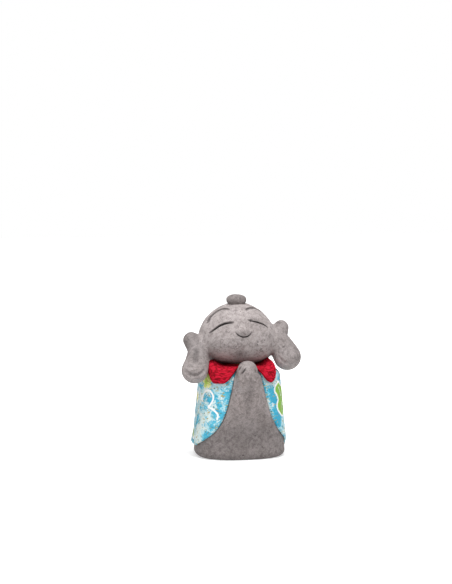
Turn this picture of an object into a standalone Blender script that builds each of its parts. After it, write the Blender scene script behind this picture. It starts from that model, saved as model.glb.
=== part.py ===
"""Jizo ornament: a clay child-monk in a cloth cloak and bib, its loose head on a wooden peg.

Metres, +Z up. The figure faces -Y. The origin is the middle of its outline on the ground, and
the body's own upright axis stands a little beside it.
"""
import math

import bmesh
import bpy
from mathutils import Vector

# Where the body's upright axis stands from the middle of the outline
AXIS_X = 0.0011
AXIS_Y = 0.0012

# Gaps between pieces
GAP = 0.0003
BIB_GAP = 0.0005
SOCKET_AIR = 0.001

# The clay body: an upright bell, oval in plan
BODY_WIDTH = 0.0500
SHOULDER_WIDTH = 0.0412
BODY_DEPTH = 0.0400
SHOULDER_HEIGHT = 0.0472
SHOULDER_ROUND = 0.0040
FOOT_ROUND = 0.0032
PLAN_SQUARENESS = 2.45
BOSS_DIAMETER = 0.0116
BOSS_ROUND = 0.0006

# The hollow that thins the clay, open underneath
HOLLOW_WIDTH = 0.0270
HOLLOW_HEIGHT = 0.0210
HOLLOW_ROUND = 0.0070

# The robe's front panel, raised in the cloak's opening
PANEL_RISE = 0.0076
PANEL_FALL = 1.2
PANEL_CREST = 0.16
PANEL_ROUNDNESS = 1.2
PANEL_MARGIN = 3.0
PANEL_STEP_ENDS = (0.65, 0.9)
SLEEVE_VALLEY = 0.14
SLEEVE_VALLEY_WIDTH = 0.24
SLEEVE_TOP = (0.05, 0.15)
SLEEVE_BOTTOM = (0.35, 0.65)
OPENING_LEAN = 3.0
OPENING_SPREAD = 20.5
OPENING_SWEEP = 42.0
OPENING_SWEEP_POWER = 6.2

# The joined hands
HANDS_WIDTH = 0.0118
HANDS_DEPTH = 0.0096
HANDS_LENGTH = 0.0180
HANDS_BLUNTNESS = 2.4
HANDS_SIDE = 0.0003
HANDS_PROUD = 0.0025
HANDS_DROP = 0.0022
HANDS_CLEARANCE = 0.0008

# The wooden peg in the neck
PEG_DIAMETER = 0.0060
PEG_IN_BODY = 0.0140
PEG_IN_HEAD = 0.0100
PEG_CHAMFER = 0.0007

# The head: a broad ball, fuller below, tipped back and a little to one side
HEAD_WIDTH = 0.0418
HEAD_DEPTH = 0.0370
HEAD_LENGTH = 0.0340
HEAD_SIDE = -0.0010
HEAD_BACK = 0.0015
HEAD_FLAT = 0.0009
HEAD_TIP = 20.0
HEAD_LEAN = 4.0
JOWL_FULLNESS = 0.45
JOWL_SHARPNESS = 6.0
JOWL_SPREAD = 0.16
CHIN_CLEFT = 0.0008
CHIN_CLEFT_AT = (0, -46)
CHIN_CLEFT_SPREAD = (10, 14)
NOSE_WIDTH = 0.0052
NOSE_RISE = 0.0013

# Lines worked in the face: turn and height in degrees on the ball of the head, width, depth
LEFT_BROW = ((-64, 8), (-70, 22), (-63, 32), (-53, 39.6), (-37, 39.2), (-24, 33))
RIGHT_BROW = ((2, 32), (15, 41), (36, 46), (52, 38), (60, 27))
LEFT_EYE = ((-52, -12), (-44, -6), (-35.5, -0.5), (-27, 3), (-17.5, 4))
RIGHT_EYE = ((6.5, 9.5), (16, 7.7), (27, 5.8), (34.5, 3.8), (40, 1))
SMILE = ((-13, -14.5), (-8.5, -19.5), (-0.6, -21.6), (6, -19), (10, -12.5))
NOSE_AT = (-1.2, -11.6)
BROW_CUT = (0.0024, 0.0006)
EYE_CUT = (0.0012, 0.0008)
SMILE_CUT = (0.0011, 0.0006)
GROOVE_FADE = 0.12

# The ears, from the top to the lobe: out from the head's side, forward of and below its
# middle, and thickness of each roll of clay
LEFT_EAR = (
    (0.0050, 0.0030, 0.0029, 0.0090),
    (0.0021, 0.0055, 0.0083, 0.0110),
    (0.0032, 0.0100, 0.0134, 0.0128),
    (0.0054, 0.0145, 0.0178, 0.0142),
)
RIGHT_EAR = (
    (0.0037, 0.0010, -0.0027, 0.0084),
    (0.0011, 0.0035, 0.0028, 0.0110),
    (0.0028, 0.0065, 0.0075, 0.0134),
    (0.0050, 0.0100, 0.0124, 0.0148),
)

# The topknot
KNOT_WIDTH = 0.0108
KNOT_THICKNESS = 0.0062
KNOT_SIDE = -0.0018
KNOT_OUT = 0.0004
KNOT_SINK = 0.0016

# The cloak
CLOAK_THICKNESS = 0.0009
CLOAK_INSIDE_BIB = 0.0012
HEM_HEIGHT = 0.0066
HEM_FLARE = 0.0008
HEM_FLARE_ENDS = (0.75, 1.0)

# The bib
BIB_THICKNESS = 0.0011
BIB_NECK_GAP = 0.0008
BIB_COLLAR = 0.0003
BIB_COLLAR_WIDTH = 0.0026
BIB_BAND = 0.0080
BIB_LENGTH = 0.0184
BIB_SIDE = 0.0158
BIB_SIDE_ENDS = (95.0, 130.0)
BIB_CORNER_START = -16.0
BIB_CORNER_FULL = 18.0
BIB_EDGE_ROUND = (-5.0, 3.0)

# How finely the round shapes are drawn
PANEL_COLUMNS = 20
BACK_COLUMNS = 32
TOP_ROWS = 3
ROUND_ROWS = 4
WALL_ROWS = 10
WALL_CROWD = 1.5
BIB_ROWS = 9
BIB_FRONT_COLUMNS = 12
BIB_EDGE_COLUMNS = 6
BIB_BACK_COLUMNS = 9
HEAD_STEPS = (46, 30)
HANDS_STEPS = (24, 16)
KNOT_STEPS = (26, 16)
PEG_STEPS = 32
BORE_STEPS = 40
EAR_STEPS = 5
EAR_RESOLUTION = 5
GROOVE_STEPS = 4
GROOVE_RESOLUTION = 2
ROUND_END = (25, 48, 66, 80)
HOLLOW_ROUND_STEPS = 5

# Sizes that follow from those above
WALL_LEAN = math.atan2(BODY_WIDTH / 2 - SHOULDER_WIDTH / 2, SHOULDER_HEIGHT)
DEPTH_RATIO = BODY_DEPTH / BODY_WIDTH
CLOAK_OUTSIDE = GAP + CLOAK_THICKNESS
BIB_LIFT = CLOAK_OUTSIDE + BIB_GAP
BOSS_RADIUS = BOSS_DIAMETER / 2
BOSS_TOP = SHOULDER_HEIGHT + BIB_LIFT + BIB_THICKNESS + BIB_COLLAR
SEAT_HEIGHT = BOSS_TOP + GAP
HEAD_RISE = HEAD_LENGTH / 2 - HEAD_FLAT
HANDS_OUT = SHOULDER_WIDTH / 2 * DEPTH_RATIO + HANDS_PROUD
HANDS_HEIGHT = SHOULDER_HEIGHT - HANDS_DROP
OPENING_AT_NECK = math.degrees(
    math.asin((HANDS_WIDTH / 2 + HANDS_CLEARANCE) / (SHOULDER_WIDTH / 2))
)
BIB_NECK = BOSS_RADIUS + BIB_NECK_GAP
BIB_SIDE_TURN = math.degrees(math.asin(BIB_SIDE / (SHOULDER_WIDTH / 2)))
CLOAK_NECK = BIB_NECK + CLOAK_INSIDE_BIB
PANEL_FOOT_INSET = 1.3 * GAP
PANEL_CREST_INSET = 2.6 * GAP
MERGE = 1e-6


def clear_scene():
    for item in list(bpy.data.objects):
        bpy.data.objects.remove(item, do_unlink=True)


def new_collection(name):
    group = bpy.data.collections.new(name)
    bpy.context.scene.collection.children.link(group)
    return group


def add_object(name, mesh, group, parent):
    item = bpy.data.objects.new(name, mesh)
    group.objects.link(item)
    item.parent = parent
    return item


def add_cutter(name, mesh, group, parent):
    cutter = add_object(name, mesh, group, parent)
    cutter.hide_render = True
    cutter.display_type = "WIRE"
    return cutter


def cut(item, cutter):
    boolean = item.modifiers.new(cutter.name, "BOOLEAN")
    boolean.operation = "DIFFERENCE"
    boolean.solver = "EXACT"
    boolean.object = cutter


def finish(item, name, colour, roughness, crease=40.0):
    material = bpy.data.materials.new(name)
    material.use_nodes = True
    shader = material.node_tree.nodes["Principled BSDF"]
    shader.inputs["Base Color"].default_value = (*colour, 1.0)
    shader.inputs["Roughness"].default_value = roughness
    shader.inputs["Metallic"].default_value = 0.0
    item.data.materials.append(material)
    item.data.shade_smooth()
    item.data.set_sharp_from_angle(angle=math.radians(crease))


def to_mesh(bm, name):
    mesh = bpy.data.meshes.new(name)
    bm.to_mesh(mesh)
    bm.free()
    return mesh


def clamp(value):
    return min(max(value, 0.0), 1.0)


def ease(low, high, value):
    share = clamp((value - low) / (high - low))
    return share * share * (3 - 2 * share)


def mix(low, high, share):
    return low + (high - low) * share


def sheet_mesh(name, columns, rows, place, closed=False):
    """A grid bent so that place(column, row) gives each of its corners."""
    bm = bmesh.new()
    bmesh.ops.create_grid(bm, x_segments=columns, y_segments=rows, size=1.0)
    for vert in bm.verts:
        column = round((vert.co.x + 1) / 2 * columns)
        row = round((vert.co.y + 1) / 2 * rows)
        vert.co = place(column, row)
    bmesh.ops.remove_doubles(bm, verts=bm.verts, dist=MERGE)
    if closed:
        bmesh.ops.recalc_face_normals(bm, faces=bm.faces)
    else:
        bmesh.ops.reverse_faces(bm, faces=bm.faces)
    return to_mesh(bm, name)


def ball_mesh(name, steps, place):
    """A ball whose every point is moved to place(its direction from the middle)."""
    bm = bmesh.new()
    bmesh.ops.create_uvsphere(bm, u_segments=steps[0], v_segments=steps[1], radius=1.0)
    for vert in bm.verts:
        vert.co = place(vert.co.normalized())
    bmesh.ops.recalc_face_normals(bm, faces=bm.faces)
    return to_mesh(bm, name)


def turned_mesh(name, profile, steps=BORE_STEPS):
    """A solid turned about Z from (radius, height) points that start and end on the axis."""
    bm = bmesh.new()
    ring = [bm.verts.new((radius, 0, height)) for radius, height in profile]
    edges = [bm.edges.new(pair) for pair in zip(ring, ring[1:])]
    bmesh.ops.spin(
        bm, geom=ring + edges, cent=(0, 0, 0), axis=(0, 0, 1),
        angle=math.tau, steps=steps, use_duplicate=False,
    )
    bmesh.ops.remove_doubles(bm, verts=bm.verts, dist=MERGE)
    bmesh.ops.recalc_face_normals(bm, faces=bm.faces)
    return to_mesh(bm, name)


def arc(centre, radius, start, end, rows):
    """Points of a round, from one angle to another in radians."""
    return [
        (
            centre[0] + radius * math.cos(mix(start, end, step / rows)),
            centre[1] + radius * math.sin(mix(start, end, step / rows)),
        )
        for step in range(rows + 1)
    ]


def round_centre(radius, height):
    """Middle of a round that meets the leaning wall and a level face."""
    reach = radius + height * math.sin(WALL_LEAN)
    return BODY_WIDTH / 2 - reach / math.cos(WALL_LEAN), height


SHOULDER_CENTRE = round_centre(SHOULDER_ROUND, SHOULDER_HEIGHT - SHOULDER_ROUND)
FOOT_CENTRE = round_centre(FOOT_ROUND, FOOT_ROUND)
RUN_TOP = SHOULDER_CENTRE[0]
RUN_SHOULDER = RUN_TOP + SHOULDER_ROUND * (math.pi / 2 - WALL_LEAN)
WALL_TOP = SHOULDER_CENTRE[1] + SHOULDER_ROUND * math.sin(WALL_LEAN)
WALL_BOTTOM = FOOT_CENTRE[1] + FOOT_ROUND * math.sin(WALL_LEAN)
RUN_WALL = RUN_SHOULDER + (WALL_TOP - WALL_BOTTOM) / math.cos(WALL_LEAN)
RUN_FOOT = RUN_WALL + FOOT_ROUND * (math.pi / 2 + WALL_LEAN)


def meridian(run):
    """Half width and height of the clay, a length out from the axis and down the side."""
    if run <= RUN_TOP:
        return run, SHOULDER_HEIGHT
    if run <= RUN_SHOULDER:
        angle = math.pi / 2 - (run - RUN_TOP) / SHOULDER_ROUND
        reach = SHOULDER_ROUND * math.cos(angle)
        return SHOULDER_CENTRE[0] + reach, SHOULDER_CENTRE[1] + SHOULDER_ROUND * math.sin(angle)
    if run <= RUN_WALL:
        height = WALL_TOP - (run - RUN_SHOULDER) * math.cos(WALL_LEAN)
        return BODY_WIDTH / 2 - height * math.tan(WALL_LEAN), height
    angle = WALL_LEAN - (run - RUN_WALL) / FOOT_ROUND
    reach = FOOT_ROUND * math.cos(angle)
    return FOOT_CENTRE[0] + reach, FOOT_CENTRE[1] + FOOT_ROUND * math.sin(angle)


def run_at_height(height):
    """The run at which the wall stands at a height."""
    return RUN_SHOULDER + (WALL_TOP - height) / math.cos(WALL_LEAN)


def drop_share(height):
    """0 at the shoulders and 1 at the cloak's hem."""
    return clamp((SHOULDER_HEIGHT - height) / (SHOULDER_HEIGHT - HEM_HEIGHT))


def opening_half(height):
    """Half the cloak's front opening, in degrees of turn round the oval."""
    drop = drop_share(height)
    sweep = OPENING_SWEEP * drop**OPENING_SWEEP_POWER
    return OPENING_AT_NECK + OPENING_SPREAD * drop + sweep


def edge_turn(side, height, half_width, inset=0.0):
    """Turn of the cloak's front edge, or of a line a little inside it."""
    reach = max(half_width, BOSS_RADIUS)
    return OPENING_LEAN + side * (opening_half(height) - math.degrees(inset / reach))


def panel_rise(turn, height):
    """How far the robe's panel stands out, with a shallow valley between the sleeves."""
    across = (turn - OPENING_LEAN) / (opening_half(height) - PANEL_MARGIN)
    if abs(across) >= 1:
        return 0.0
    drop = drop_share(height)
    crest = clamp(drop / PANEL_CREST)
    lift = PANEL_RISE * math.sqrt(crest * (2 - crest)) * (1 - drop) ** PANEL_FALL
    valley = SLEEVE_VALLEY * math.exp(-((across / SLEEVE_VALLEY_WIDTH) ** 2))
    sleeve = ease(*SLEEVE_TOP, drop) * (1 - ease(*SLEEVE_BOTTOM, drop))
    return lift * (1 - across**2) ** PANEL_ROUNDNESS * (1 - valley * sleeve)


def oval_point(turn, half_width, height):
    """A point on the body's oval, round at the neck, shallower and squarer further out."""
    side, front = math.sin(math.radians(turn)), math.cos(math.radians(turn))
    outer = ease(BOSS_RADIUS, SHOULDER_CENTRE[0], half_width)
    power = mix(2.0, PLAN_SQUARENESS, outer)
    reach = half_width * (abs(side) ** power + abs(front) ** power) ** (-1 / power)
    depth = reach * mix(1.0, DEPTH_RATIO, outer) * front
    wrapped = (turn + 180) % 360 - 180
    return Vector((reach * side, -depth - panel_rise(wrapped, height), height))


def form_point(turn, run, lift=0.0):
    """A point of the body's form, or that far above it."""
    point = oval_point(turn, *meridian(run))
    if lift == 0:
        return point
    small_turn, small_run = 0.5, 0.0002
    place, below, above = meridian(run), meridian(run + small_run), meridian(run - small_run)
    along = oval_point(turn + small_turn, *place) - oval_point(turn - small_turn, *place)
    up = oval_point(turn, *above) - oval_point(turn, *below)
    return point + along.cross(up).normalized() * lift


def spaced(start, end, steps, crowd=1.0):
    """Values from start to end, crowded towards the end."""
    return [mix(start, end, 1 - (1 - step / steps) ** crowd) for step in range(steps + 1)]


def cloth_runs():
    """The rows of the clay under the cloak, from the neck to the hem, and of the cloak itself."""
    top = spaced(CLOAK_NECK, RUN_TOP, TOP_ROWS)
    shoulder = spaced(RUN_TOP, RUN_SHOULDER, ROUND_ROWS)
    wall = spaced(RUN_SHOULDER, run_at_height(HEM_HEIGHT), WALL_ROWS, WALL_CROWD)
    return top + shoulder[1:] + wall[1:]


def body_mesh():
    hem_to_foot = [RUN_WALL] + spaced(RUN_WALL, RUN_FOOT, ROUND_ROWS)[1:]
    runs = ([BOSS_RADIUS] + cloth_runs() + hem_to_foot)[::-1]
    boss = [(BOSS_RADIUS, BOSS_TOP - BOSS_ROUND), (BOSS_RADIUS - BOSS_ROUND, BOSS_TOP), (0, BOSS_TOP)]
    columns = PANEL_COLUMNS + BACK_COLUMNS + 2

    def turn_at(column, half_width, height):
        left_crest = edge_turn(-1, height, half_width, PANEL_CREST_INSET)
        right_crest = edge_turn(1, height, half_width, PANEL_CREST_INSET)
        if column <= PANEL_COLUMNS:
            return mix(left_crest, right_crest, column / PANEL_COLUMNS)
        left_foot = edge_turn(-1, height, half_width, PANEL_FOOT_INSET) + 360
        right_foot = edge_turn(1, height, half_width, PANEL_FOOT_INSET)
        if column <= PANEL_COLUMNS + 1 + BACK_COLUMNS:
            return mix(right_foot, left_foot, (column - PANEL_COLUMNS - 1) / BACK_COLUMNS)
        return left_crest + 360

    def place(column, row):
        if row == 0:
            return Vector((0, 0, 0))
        if row > len(runs):
            half_width, height = boss[row - len(runs) - 1]
            return oval_point(turn_at(column, half_width, height), half_width, height)
        run = runs[row - 1]
        half_width, height = meridian(run)
        on_panel = column <= PANEL_COLUMNS or column == columns
        step = CLOAK_OUTSIDE * on_panel * ease(CLOAK_NECK, SHOULDER_CENTRE[0], half_width)
        step *= 1 - ease(*PANEL_STEP_ENDS, drop_share(height))
        return form_point(turn_at(column, half_width, height), run, step)

    return sheet_mesh("body", columns, len(runs) + len(boss), place, closed=True)


def hands_mesh(name, grow=0.0):
    half = Vector((HANDS_WIDTH, HANDS_DEPTH, HANDS_LENGTH)) / 2

    def place(way):
        power = HANDS_BLUNTNESS
        reach = (abs(way.x) ** power + abs(way.y) ** power + abs(way.z) ** power) ** (-1 / power)
        return Vector([way[axis] * reach * half[axis] + way[axis] * grow for axis in range(3)])

    return ball_mesh(name, HANDS_STEPS, place)


def head_point(way, grow=0.0):
    """The head's surface in a direction from its middle."""
    power = 2 + JOWL_FULLNESS / (1 + math.exp(JOWL_SHARPNESS * way.z))
    reach = (abs(way.x) ** power + abs(way.y) ** power + abs(way.z) ** power) ** (-1 / power)
    ball = way * reach
    spread = 1 - JOWL_SPREAD * ball.z
    return Vector((
        ball.x * (HEAD_WIDTH / 2 + grow) * spread,
        ball.y * (HEAD_DEPTH / 2 + grow),
        ball.z * (HEAD_LENGTH / 2 + grow),
    ))


def face_way(turn, height):
    """A direction out of the head, from angles in degrees."""
    level = math.cos(math.radians(height))
    return Vector((
        level * math.sin(math.radians(turn)),
        -level * math.cos(math.radians(turn)),
        math.sin(math.radians(height)),
    ))


def modelled_head_point(way):
    """The head's surface with the nose raised and the chin cleft pressed in."""
    off_nose = way.angle(face_way(*NOSE_AT)) * HEAD_DEPTH / NOSE_WIDTH
    nose = NOSE_RISE * math.exp(-(off_nose**2))
    turn = math.degrees(math.atan2(way.x, -way.y))
    height = math.degrees(math.asin(max(-1, min(1, way.z))))
    aside = (turn - CHIN_CLEFT_AT[0]) / CHIN_CLEFT_SPREAD[0]
    above = (height - CHIN_CLEFT_AT[1]) / CHIN_CLEFT_SPREAD[1]
    cleft = CHIN_CLEFT * math.exp(-(aside**2) - above**2)
    return head_point(way) + way * (nose - cleft)


def curve_through(knots, steps):
    """A smooth line through knots of any size, with that many steps between each two."""
    ends = [2 * knots[0] - knots[1]] + list(knots) + [2 * knots[-1] - knots[-2]]
    line = []
    for before, start, end, after in zip(ends, ends[1:], ends[2:], ends[3:]):
        for step in range(steps):
            s = step / steps
            bend = (2 * before - 5 * start + 4 * end - after) * s**2
            swing = (3 * start - before - 3 * end + after) * s**3
            line.append((2 * start + (end - before) * s + bend + swing) / 2)
    return line + [knots[-1]]


def tube_mesh(name, points, radii, resolution):
    """A closed tube along a line, as thick as the radii say."""
    curve = bpy.data.curves.new(name, "CURVE")
    curve.dimensions = "3D"
    curve.bevel_depth = 1.0
    curve.bevel_resolution = resolution
    curve.use_fill_caps = True
    spline = curve.splines.new("POLY")
    spline.points.add(len(points) - 1)
    for place, point, radius in zip(spline.points, points, radii):
        place.co = (*point, 1)
        place.radius = radius
    guide = bpy.data.objects.new(name, curve)
    bpy.context.scene.collection.objects.link(guide)
    shape = guide.evaluated_get(bpy.context.evaluated_depsgraph_get())
    mesh = bpy.data.meshes.new_from_object(shape)
    bpy.data.objects.remove(guide, do_unlink=True)
    bpy.data.curves.remove(curve)
    bm = bmesh.new()
    bm.from_mesh(mesh)
    bmesh.ops.remove_doubles(bm, verts=bm.verts, dist=MERGE)
    bmesh.ops.recalc_face_normals(bm, faces=bm.faces)
    bm.to_mesh(mesh)
    bm.free()
    return mesh


def groove_mesh(name, angles, size):
    """The tool that draws one line in the face, fading out at both ends."""
    width, depth = size
    ways = curve_through([Vector(pair) for pair in angles], GROOVE_STEPS)
    last = len(ways) - 1
    points, radii = [], []
    for index, pair in enumerate(ways):
        way = face_way(*pair)
        share = mix(GROOVE_FADE, 1 - GROOVE_FADE, index / last)
        press = math.sqrt(math.sin(math.pi * share))
        points.append(head_point(way) + way * (width / 2 - depth * press))
        radii.append(width / 2)
    return tube_mesh(name, points, radii, GROOVE_RESOLUTION)


def ear_mesh(name, side, places):
    """A roll of clay with round ends, placed from the middle of the head."""
    knots = [
        Vector((side * (HEAD_WIDTH / 2 + out), -forward, -below, thickness))
        for out, forward, below, thickness in places
    ]
    line = curve_through(knots, EAR_STEPS)
    points = [Vector(knot[:3]) for knot in line]
    radii = [knot[3] / 2 for knot in line]
    for end, inner in ((0, 1), (-1, -2)):
        outward = (points[end] - points[inner]).normalized()
        middle, radius = points[end], radii[end]
        for angle in ROUND_END:
            point = middle + outward * radius * math.sin(math.radians(angle))
            thin = radius * math.cos(math.radians(angle))
            at = 0 if end == 0 else len(points)
            points.insert(at, point)
            radii.insert(at, thin)
    return tube_mesh(name, points, radii, EAR_RESOLUTION)


def build_body(group, cutters, axis):
    body = add_object("body", body_mesh(), group, axis)
    half = HOLLOW_WIDTH / 2
    middle = (half - HOLLOW_ROUND, HOLLOW_HEIGHT - HOLLOW_ROUND)
    dome = arc(middle, HOLLOW_ROUND, 0, math.pi / 2, HOLLOW_ROUND_STEPS)
    profile = [(0, -HOLLOW_ROUND), (half, -HOLLOW_ROUND)] + dome + [(0, HOLLOW_HEIGHT)]
    cut(body, add_cutter("hollow", turned_mesh("hollow", profile), cutters, axis))
    bore = PEG_DIAMETER / 2 + GAP
    floor = BOSS_TOP - PEG_IN_BODY - GAP
    above = BOSS_TOP + PEG_IN_HEAD
    socket = turned_mesh("body_socket", [(0, floor), (bore, floor), (bore, above), (0, above)])
    cut(body, add_cutter("body_socket", socket, cutters, axis))
    seat = add_cutter("hands_seat", hands_mesh("hands_seat", GAP), cutters, axis)
    seat.location = (HANDS_SIDE, -HANDS_OUT, HANDS_HEIGHT)
    cut(body, seat)
    finish(body, "clay_body", (0.27, 0.25, 0.235), 0.85)
    hands = add_object("praying_hands", hands_mesh("praying_hands"), group, axis)
    hands.location = seat.location
    finish(hands, "clay_hands", (0.28, 0.26, 0.245), 0.85)


def build_peg(group, turning):
    peg = add_object("neck_dowel", peg_mesh(), group, turning)
    bevel = peg.modifiers.new("chamfer", "BEVEL")
    bevel.width = PEG_CHAMFER
    bevel.segments = 1
    bevel.limit_method = "ANGLE"
    finish(peg, "peg_wood", (0.56, 0.41, 0.25), 0.7)


def peg_mesh():
    radius = PEG_DIAMETER / 2
    bottom = -PEG_IN_BODY - GAP
    profile = [(0, bottom), (radius, bottom), (radius, PEG_IN_HEAD), (0, PEG_IN_HEAD)]
    return turned_mesh("neck_dowel", profile, PEG_STEPS)


def build_head(group, cutters, turning):
    place = (HEAD_SIDE, HEAD_BACK, HEAD_RISE)
    tilt = (math.radians(-HEAD_TIP), math.radians(HEAD_LEAN), 0)
    head = add_object("head", ball_mesh("head", HEAD_STEPS, modelled_head_point), group, turning)
    head.location, head.rotation_euler = place, tilt
    bm = bmesh.new()
    bmesh.ops.create_cube(bm, size=HEAD_WIDTH)
    bmesh.ops.translate(bm, verts=bm.verts, vec=(0, 0, -HEAD_WIDTH / 2))
    cut(head, add_cutter("head_seat", to_mesh(bm, "head_seat"), cutters, turning))
    bore = PEG_DIAMETER / 2 + GAP
    roof = PEG_IN_HEAD + SOCKET_AIR
    socket = turned_mesh("head_socket", [(0, -bore), (bore, -bore), (bore, roof), (0, roof)])
    cut(head, add_cutter("head_socket", socket, cutters, turning))
    lines = (
        ("left_brow_line", LEFT_BROW, BROW_CUT),
        ("right_brow_line", RIGHT_BROW, BROW_CUT),
        ("left_eye_line", LEFT_EYE, EYE_CUT),
        ("right_eye_line", RIGHT_EYE, EYE_CUT),
        ("smile_line", SMILE, SMILE_CUT),
    )
    for name, angles, size in lines:
        tool = add_cutter(name, groove_mesh(name, angles, size), cutters, turning)
        tool.location, tool.rotation_euler = place, tilt
        cut(head, tool)
    finish(head, "clay_head", (0.30, 0.28, 0.26), 0.8)
    grown = ball_mesh("head_grown", HEAD_STEPS, lambda way: head_point(way, GAP))
    luting = add_cutter("head_grown", grown, cutters, turning)
    luting.location, luting.rotation_euler = place, tilt
    for name, side, places in (("left_ear", -1, LEFT_EAR), ("right_ear", 1, RIGHT_EAR)):
        ear = add_object(name, ear_mesh(name, side, places), group, turning)
        ear.location = place
        cut(ear, luting)
        finish(ear, "clay_" + name, (0.29, 0.27, 0.25), 0.82)
    knot = add_object("topknot", ball_mesh("topknot", KNOT_STEPS, knot_point), group, turning)
    knot.location = (KNOT_SIDE, -KNOT_OUT, HEAD_RISE + HEAD_LENGTH / 2 + KNOT_THICKNESS / 2 - KNOT_SINK)
    cut(knot, luting)
    finish(knot, "clay_topknot", (0.30, 0.28, 0.26), 0.82)


def knot_point(way):
    return Vector((way.x * KNOT_WIDTH / 2, way.y * KNOT_WIDTH / 2, way.z * KNOT_THICKNESS / 2))


def thicken(item, thickness):
    shell = item.modifiers.new("thickness", "SOLIDIFY")
    shell.thickness = thickness
    shell.offset = 1.0


def build_cloak(group, axis):
    runs = cloth_runs()

    def place(column, row):
        half_width, height = meridian(runs[row])
        left = edge_turn(-1, height, half_width) + 360
        turn = mix(edge_turn(1, height, half_width), left, column / BACK_COLUMNS)
        flare = HEM_FLARE * ease(*HEM_FLARE_ENDS, drop_share(height))
        return form_point(turn, runs[row], GAP + flare)

    mesh = sheet_mesh("cloak", BACK_COLUMNS, len(runs) - 1, place)
    cloak = add_object("cloak", mesh, group, axis)
    thicken(cloak, CLOAK_THICKNESS)
    finish(cloak, "cloak_crepe", (0.42, 0.72, 0.80), 0.9)


def bib_corner(side):
    """Turns between which one corner of the bib starts, is full, and ends at its side edge."""
    edge = OPENING_AT_NECK + side * OPENING_LEAN
    rounded = [BIB_SIDE_TURN + turn for turn in BIB_EDGE_ROUND]
    return edge + BIB_CORNER_START, edge + BIB_CORNER_FULL, *rounded


def bib_length(turn):
    """How far the bib reaches from its neck edge: a band, with a square-sided corner each side."""
    start, full, fall, out = bib_corner(math.copysign(1, turn))
    turn = abs(turn)
    if turn <= start:
        return BIB_BAND
    side = BIB_SIDE / math.sin(math.radians(min(turn, 90))) - BIB_NECK
    beside = ease(full, fall, turn) * (1 - ease(*BIB_SIDE_ENDS, turn))
    plain = mix(BIB_BAND, side, beside)
    return mix(plain, BIB_LENGTH, ease(start, full, turn) * (1 - ease(fall, out, turn)))


def bib_turns():
    """Where the bib's columns lie, close together at its two side edges."""
    left_fall, left_out = (-turn for turn in bib_corner(-1)[2:])
    fall, out = bib_corner(1)[2:]
    stops = (-180, left_out, left_fall, 0, fall, out, 180)
    counts = (BIB_BACK_COLUMNS, BIB_EDGE_COLUMNS, BIB_FRONT_COLUMNS)
    turns = [-180]
    for low, high, count in zip(stops, stops[1:], counts + counts[::-1]):
        turns += spaced(low, high, count)[1:]
    return turns


def build_bib(group, axis):
    turns = bib_turns()

    def place(column, row):
        run = BIB_NECK + bib_length(turns[column]) * row / BIB_ROWS
        collar = BIB_COLLAR * (1 - ease(BIB_NECK, BIB_NECK + BIB_COLLAR_WIDTH, run))
        return form_point(turns[column], run, BIB_LIFT + collar)

    bib = add_object("bib", sheet_mesh("bib", len(turns) - 1, BIB_ROWS, place), group, axis)
    thicken(bib, BIB_THICKNESS)
    finish(bib, "bib_crepe", (0.62, 0.02, 0.03), 0.9)


def build_jizo():
    clear_scene()
    group = new_collection("jizo")
    cutters = new_collection("cutters")
    axis = add_object("figure_axis", None, group, None)
    axis.location = (AXIS_X, AXIS_Y, 0)
    turning = add_object("head_axis", None, group, axis)
    turning.location = (0, 0, SEAT_HEIGHT)
    build_body(group, cutters, axis)
    build_peg(group, turning)
    build_head(group, cutters, turning)
    build_cloak(group, axis)
    build_bib(group, axis)


build_jizo()
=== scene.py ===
"""A small clay jizo with a loose head, dressed in a printed crepe cloak and a red crepe bib.

Sizes are millimetres from the body's upright axis, with the ground at nought.
"""

import math

import bmesh
import bpy
import numpy as np
from mathutils import Euler, Matrix, Vector, noise


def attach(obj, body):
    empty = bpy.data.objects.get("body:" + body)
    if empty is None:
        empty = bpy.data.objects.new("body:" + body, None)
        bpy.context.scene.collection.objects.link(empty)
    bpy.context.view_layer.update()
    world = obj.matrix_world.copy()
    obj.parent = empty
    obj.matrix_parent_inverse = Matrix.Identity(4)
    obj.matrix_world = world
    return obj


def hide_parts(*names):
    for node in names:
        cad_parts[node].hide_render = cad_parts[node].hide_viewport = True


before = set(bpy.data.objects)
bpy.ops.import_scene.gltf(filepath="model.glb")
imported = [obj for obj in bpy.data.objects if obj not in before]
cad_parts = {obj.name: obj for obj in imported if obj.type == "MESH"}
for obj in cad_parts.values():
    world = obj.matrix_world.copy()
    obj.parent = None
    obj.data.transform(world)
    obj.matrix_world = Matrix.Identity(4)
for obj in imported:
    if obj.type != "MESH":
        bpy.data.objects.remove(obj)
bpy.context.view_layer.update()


# The body
# One hollow bell of grey roof-tile clay, oval in plan. The robe's front panel and the joined
# hands are raised on it by hand, with a step beside the panel where the cloak's edge lies.
body_axis = np.array([1.1, 1.2, 0.0])
foot_half = 25.0
shoulder_half = 20.6
shoulder_top = 47.2
shoulder_round = 4.0
foot_round = 3.2
depth_share = 0.8
plan_power = 2.45
boss_half = 5.8
boss_top = 50.3
boss_round = 0.6
socket_half = 3.3
socket_floor = 36.0
hollow_half = 13.5
hollow_top = 21.0
hollow_round = 7.0
hem_height = 6.6
cloth_gap = 0.3
cloak_thick = 0.9
cloak_neck = 7.8
cloak_outside = cloth_gap + cloak_thick
opening_lean = 3.0
opening_at_neck = 18.99
opening_spread = 20.5
opening_sweep = 42.0
panel_lift = 7.6
panel_margin = 3.0
front_columns = 110
back_columns = 84
arc_steps = 24


def ease(low, high, value):
    share = np.clip((value - low) / (high - low), 0, 1)
    return share * share * (3 - 2 * share)


def hill(off, width):
    """One at nought, and fading smoothly on both sides over about its width."""
    return np.exp(-((off / width) ** 2))


def dip(off, reach):
    """One at nought, and rounding off to nothing at its reach."""
    return np.clip(1 - (off / reach) ** 2, 0, 1)


def lengths(ways):
    return np.linalg.norm(ways, axis=1)


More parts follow.
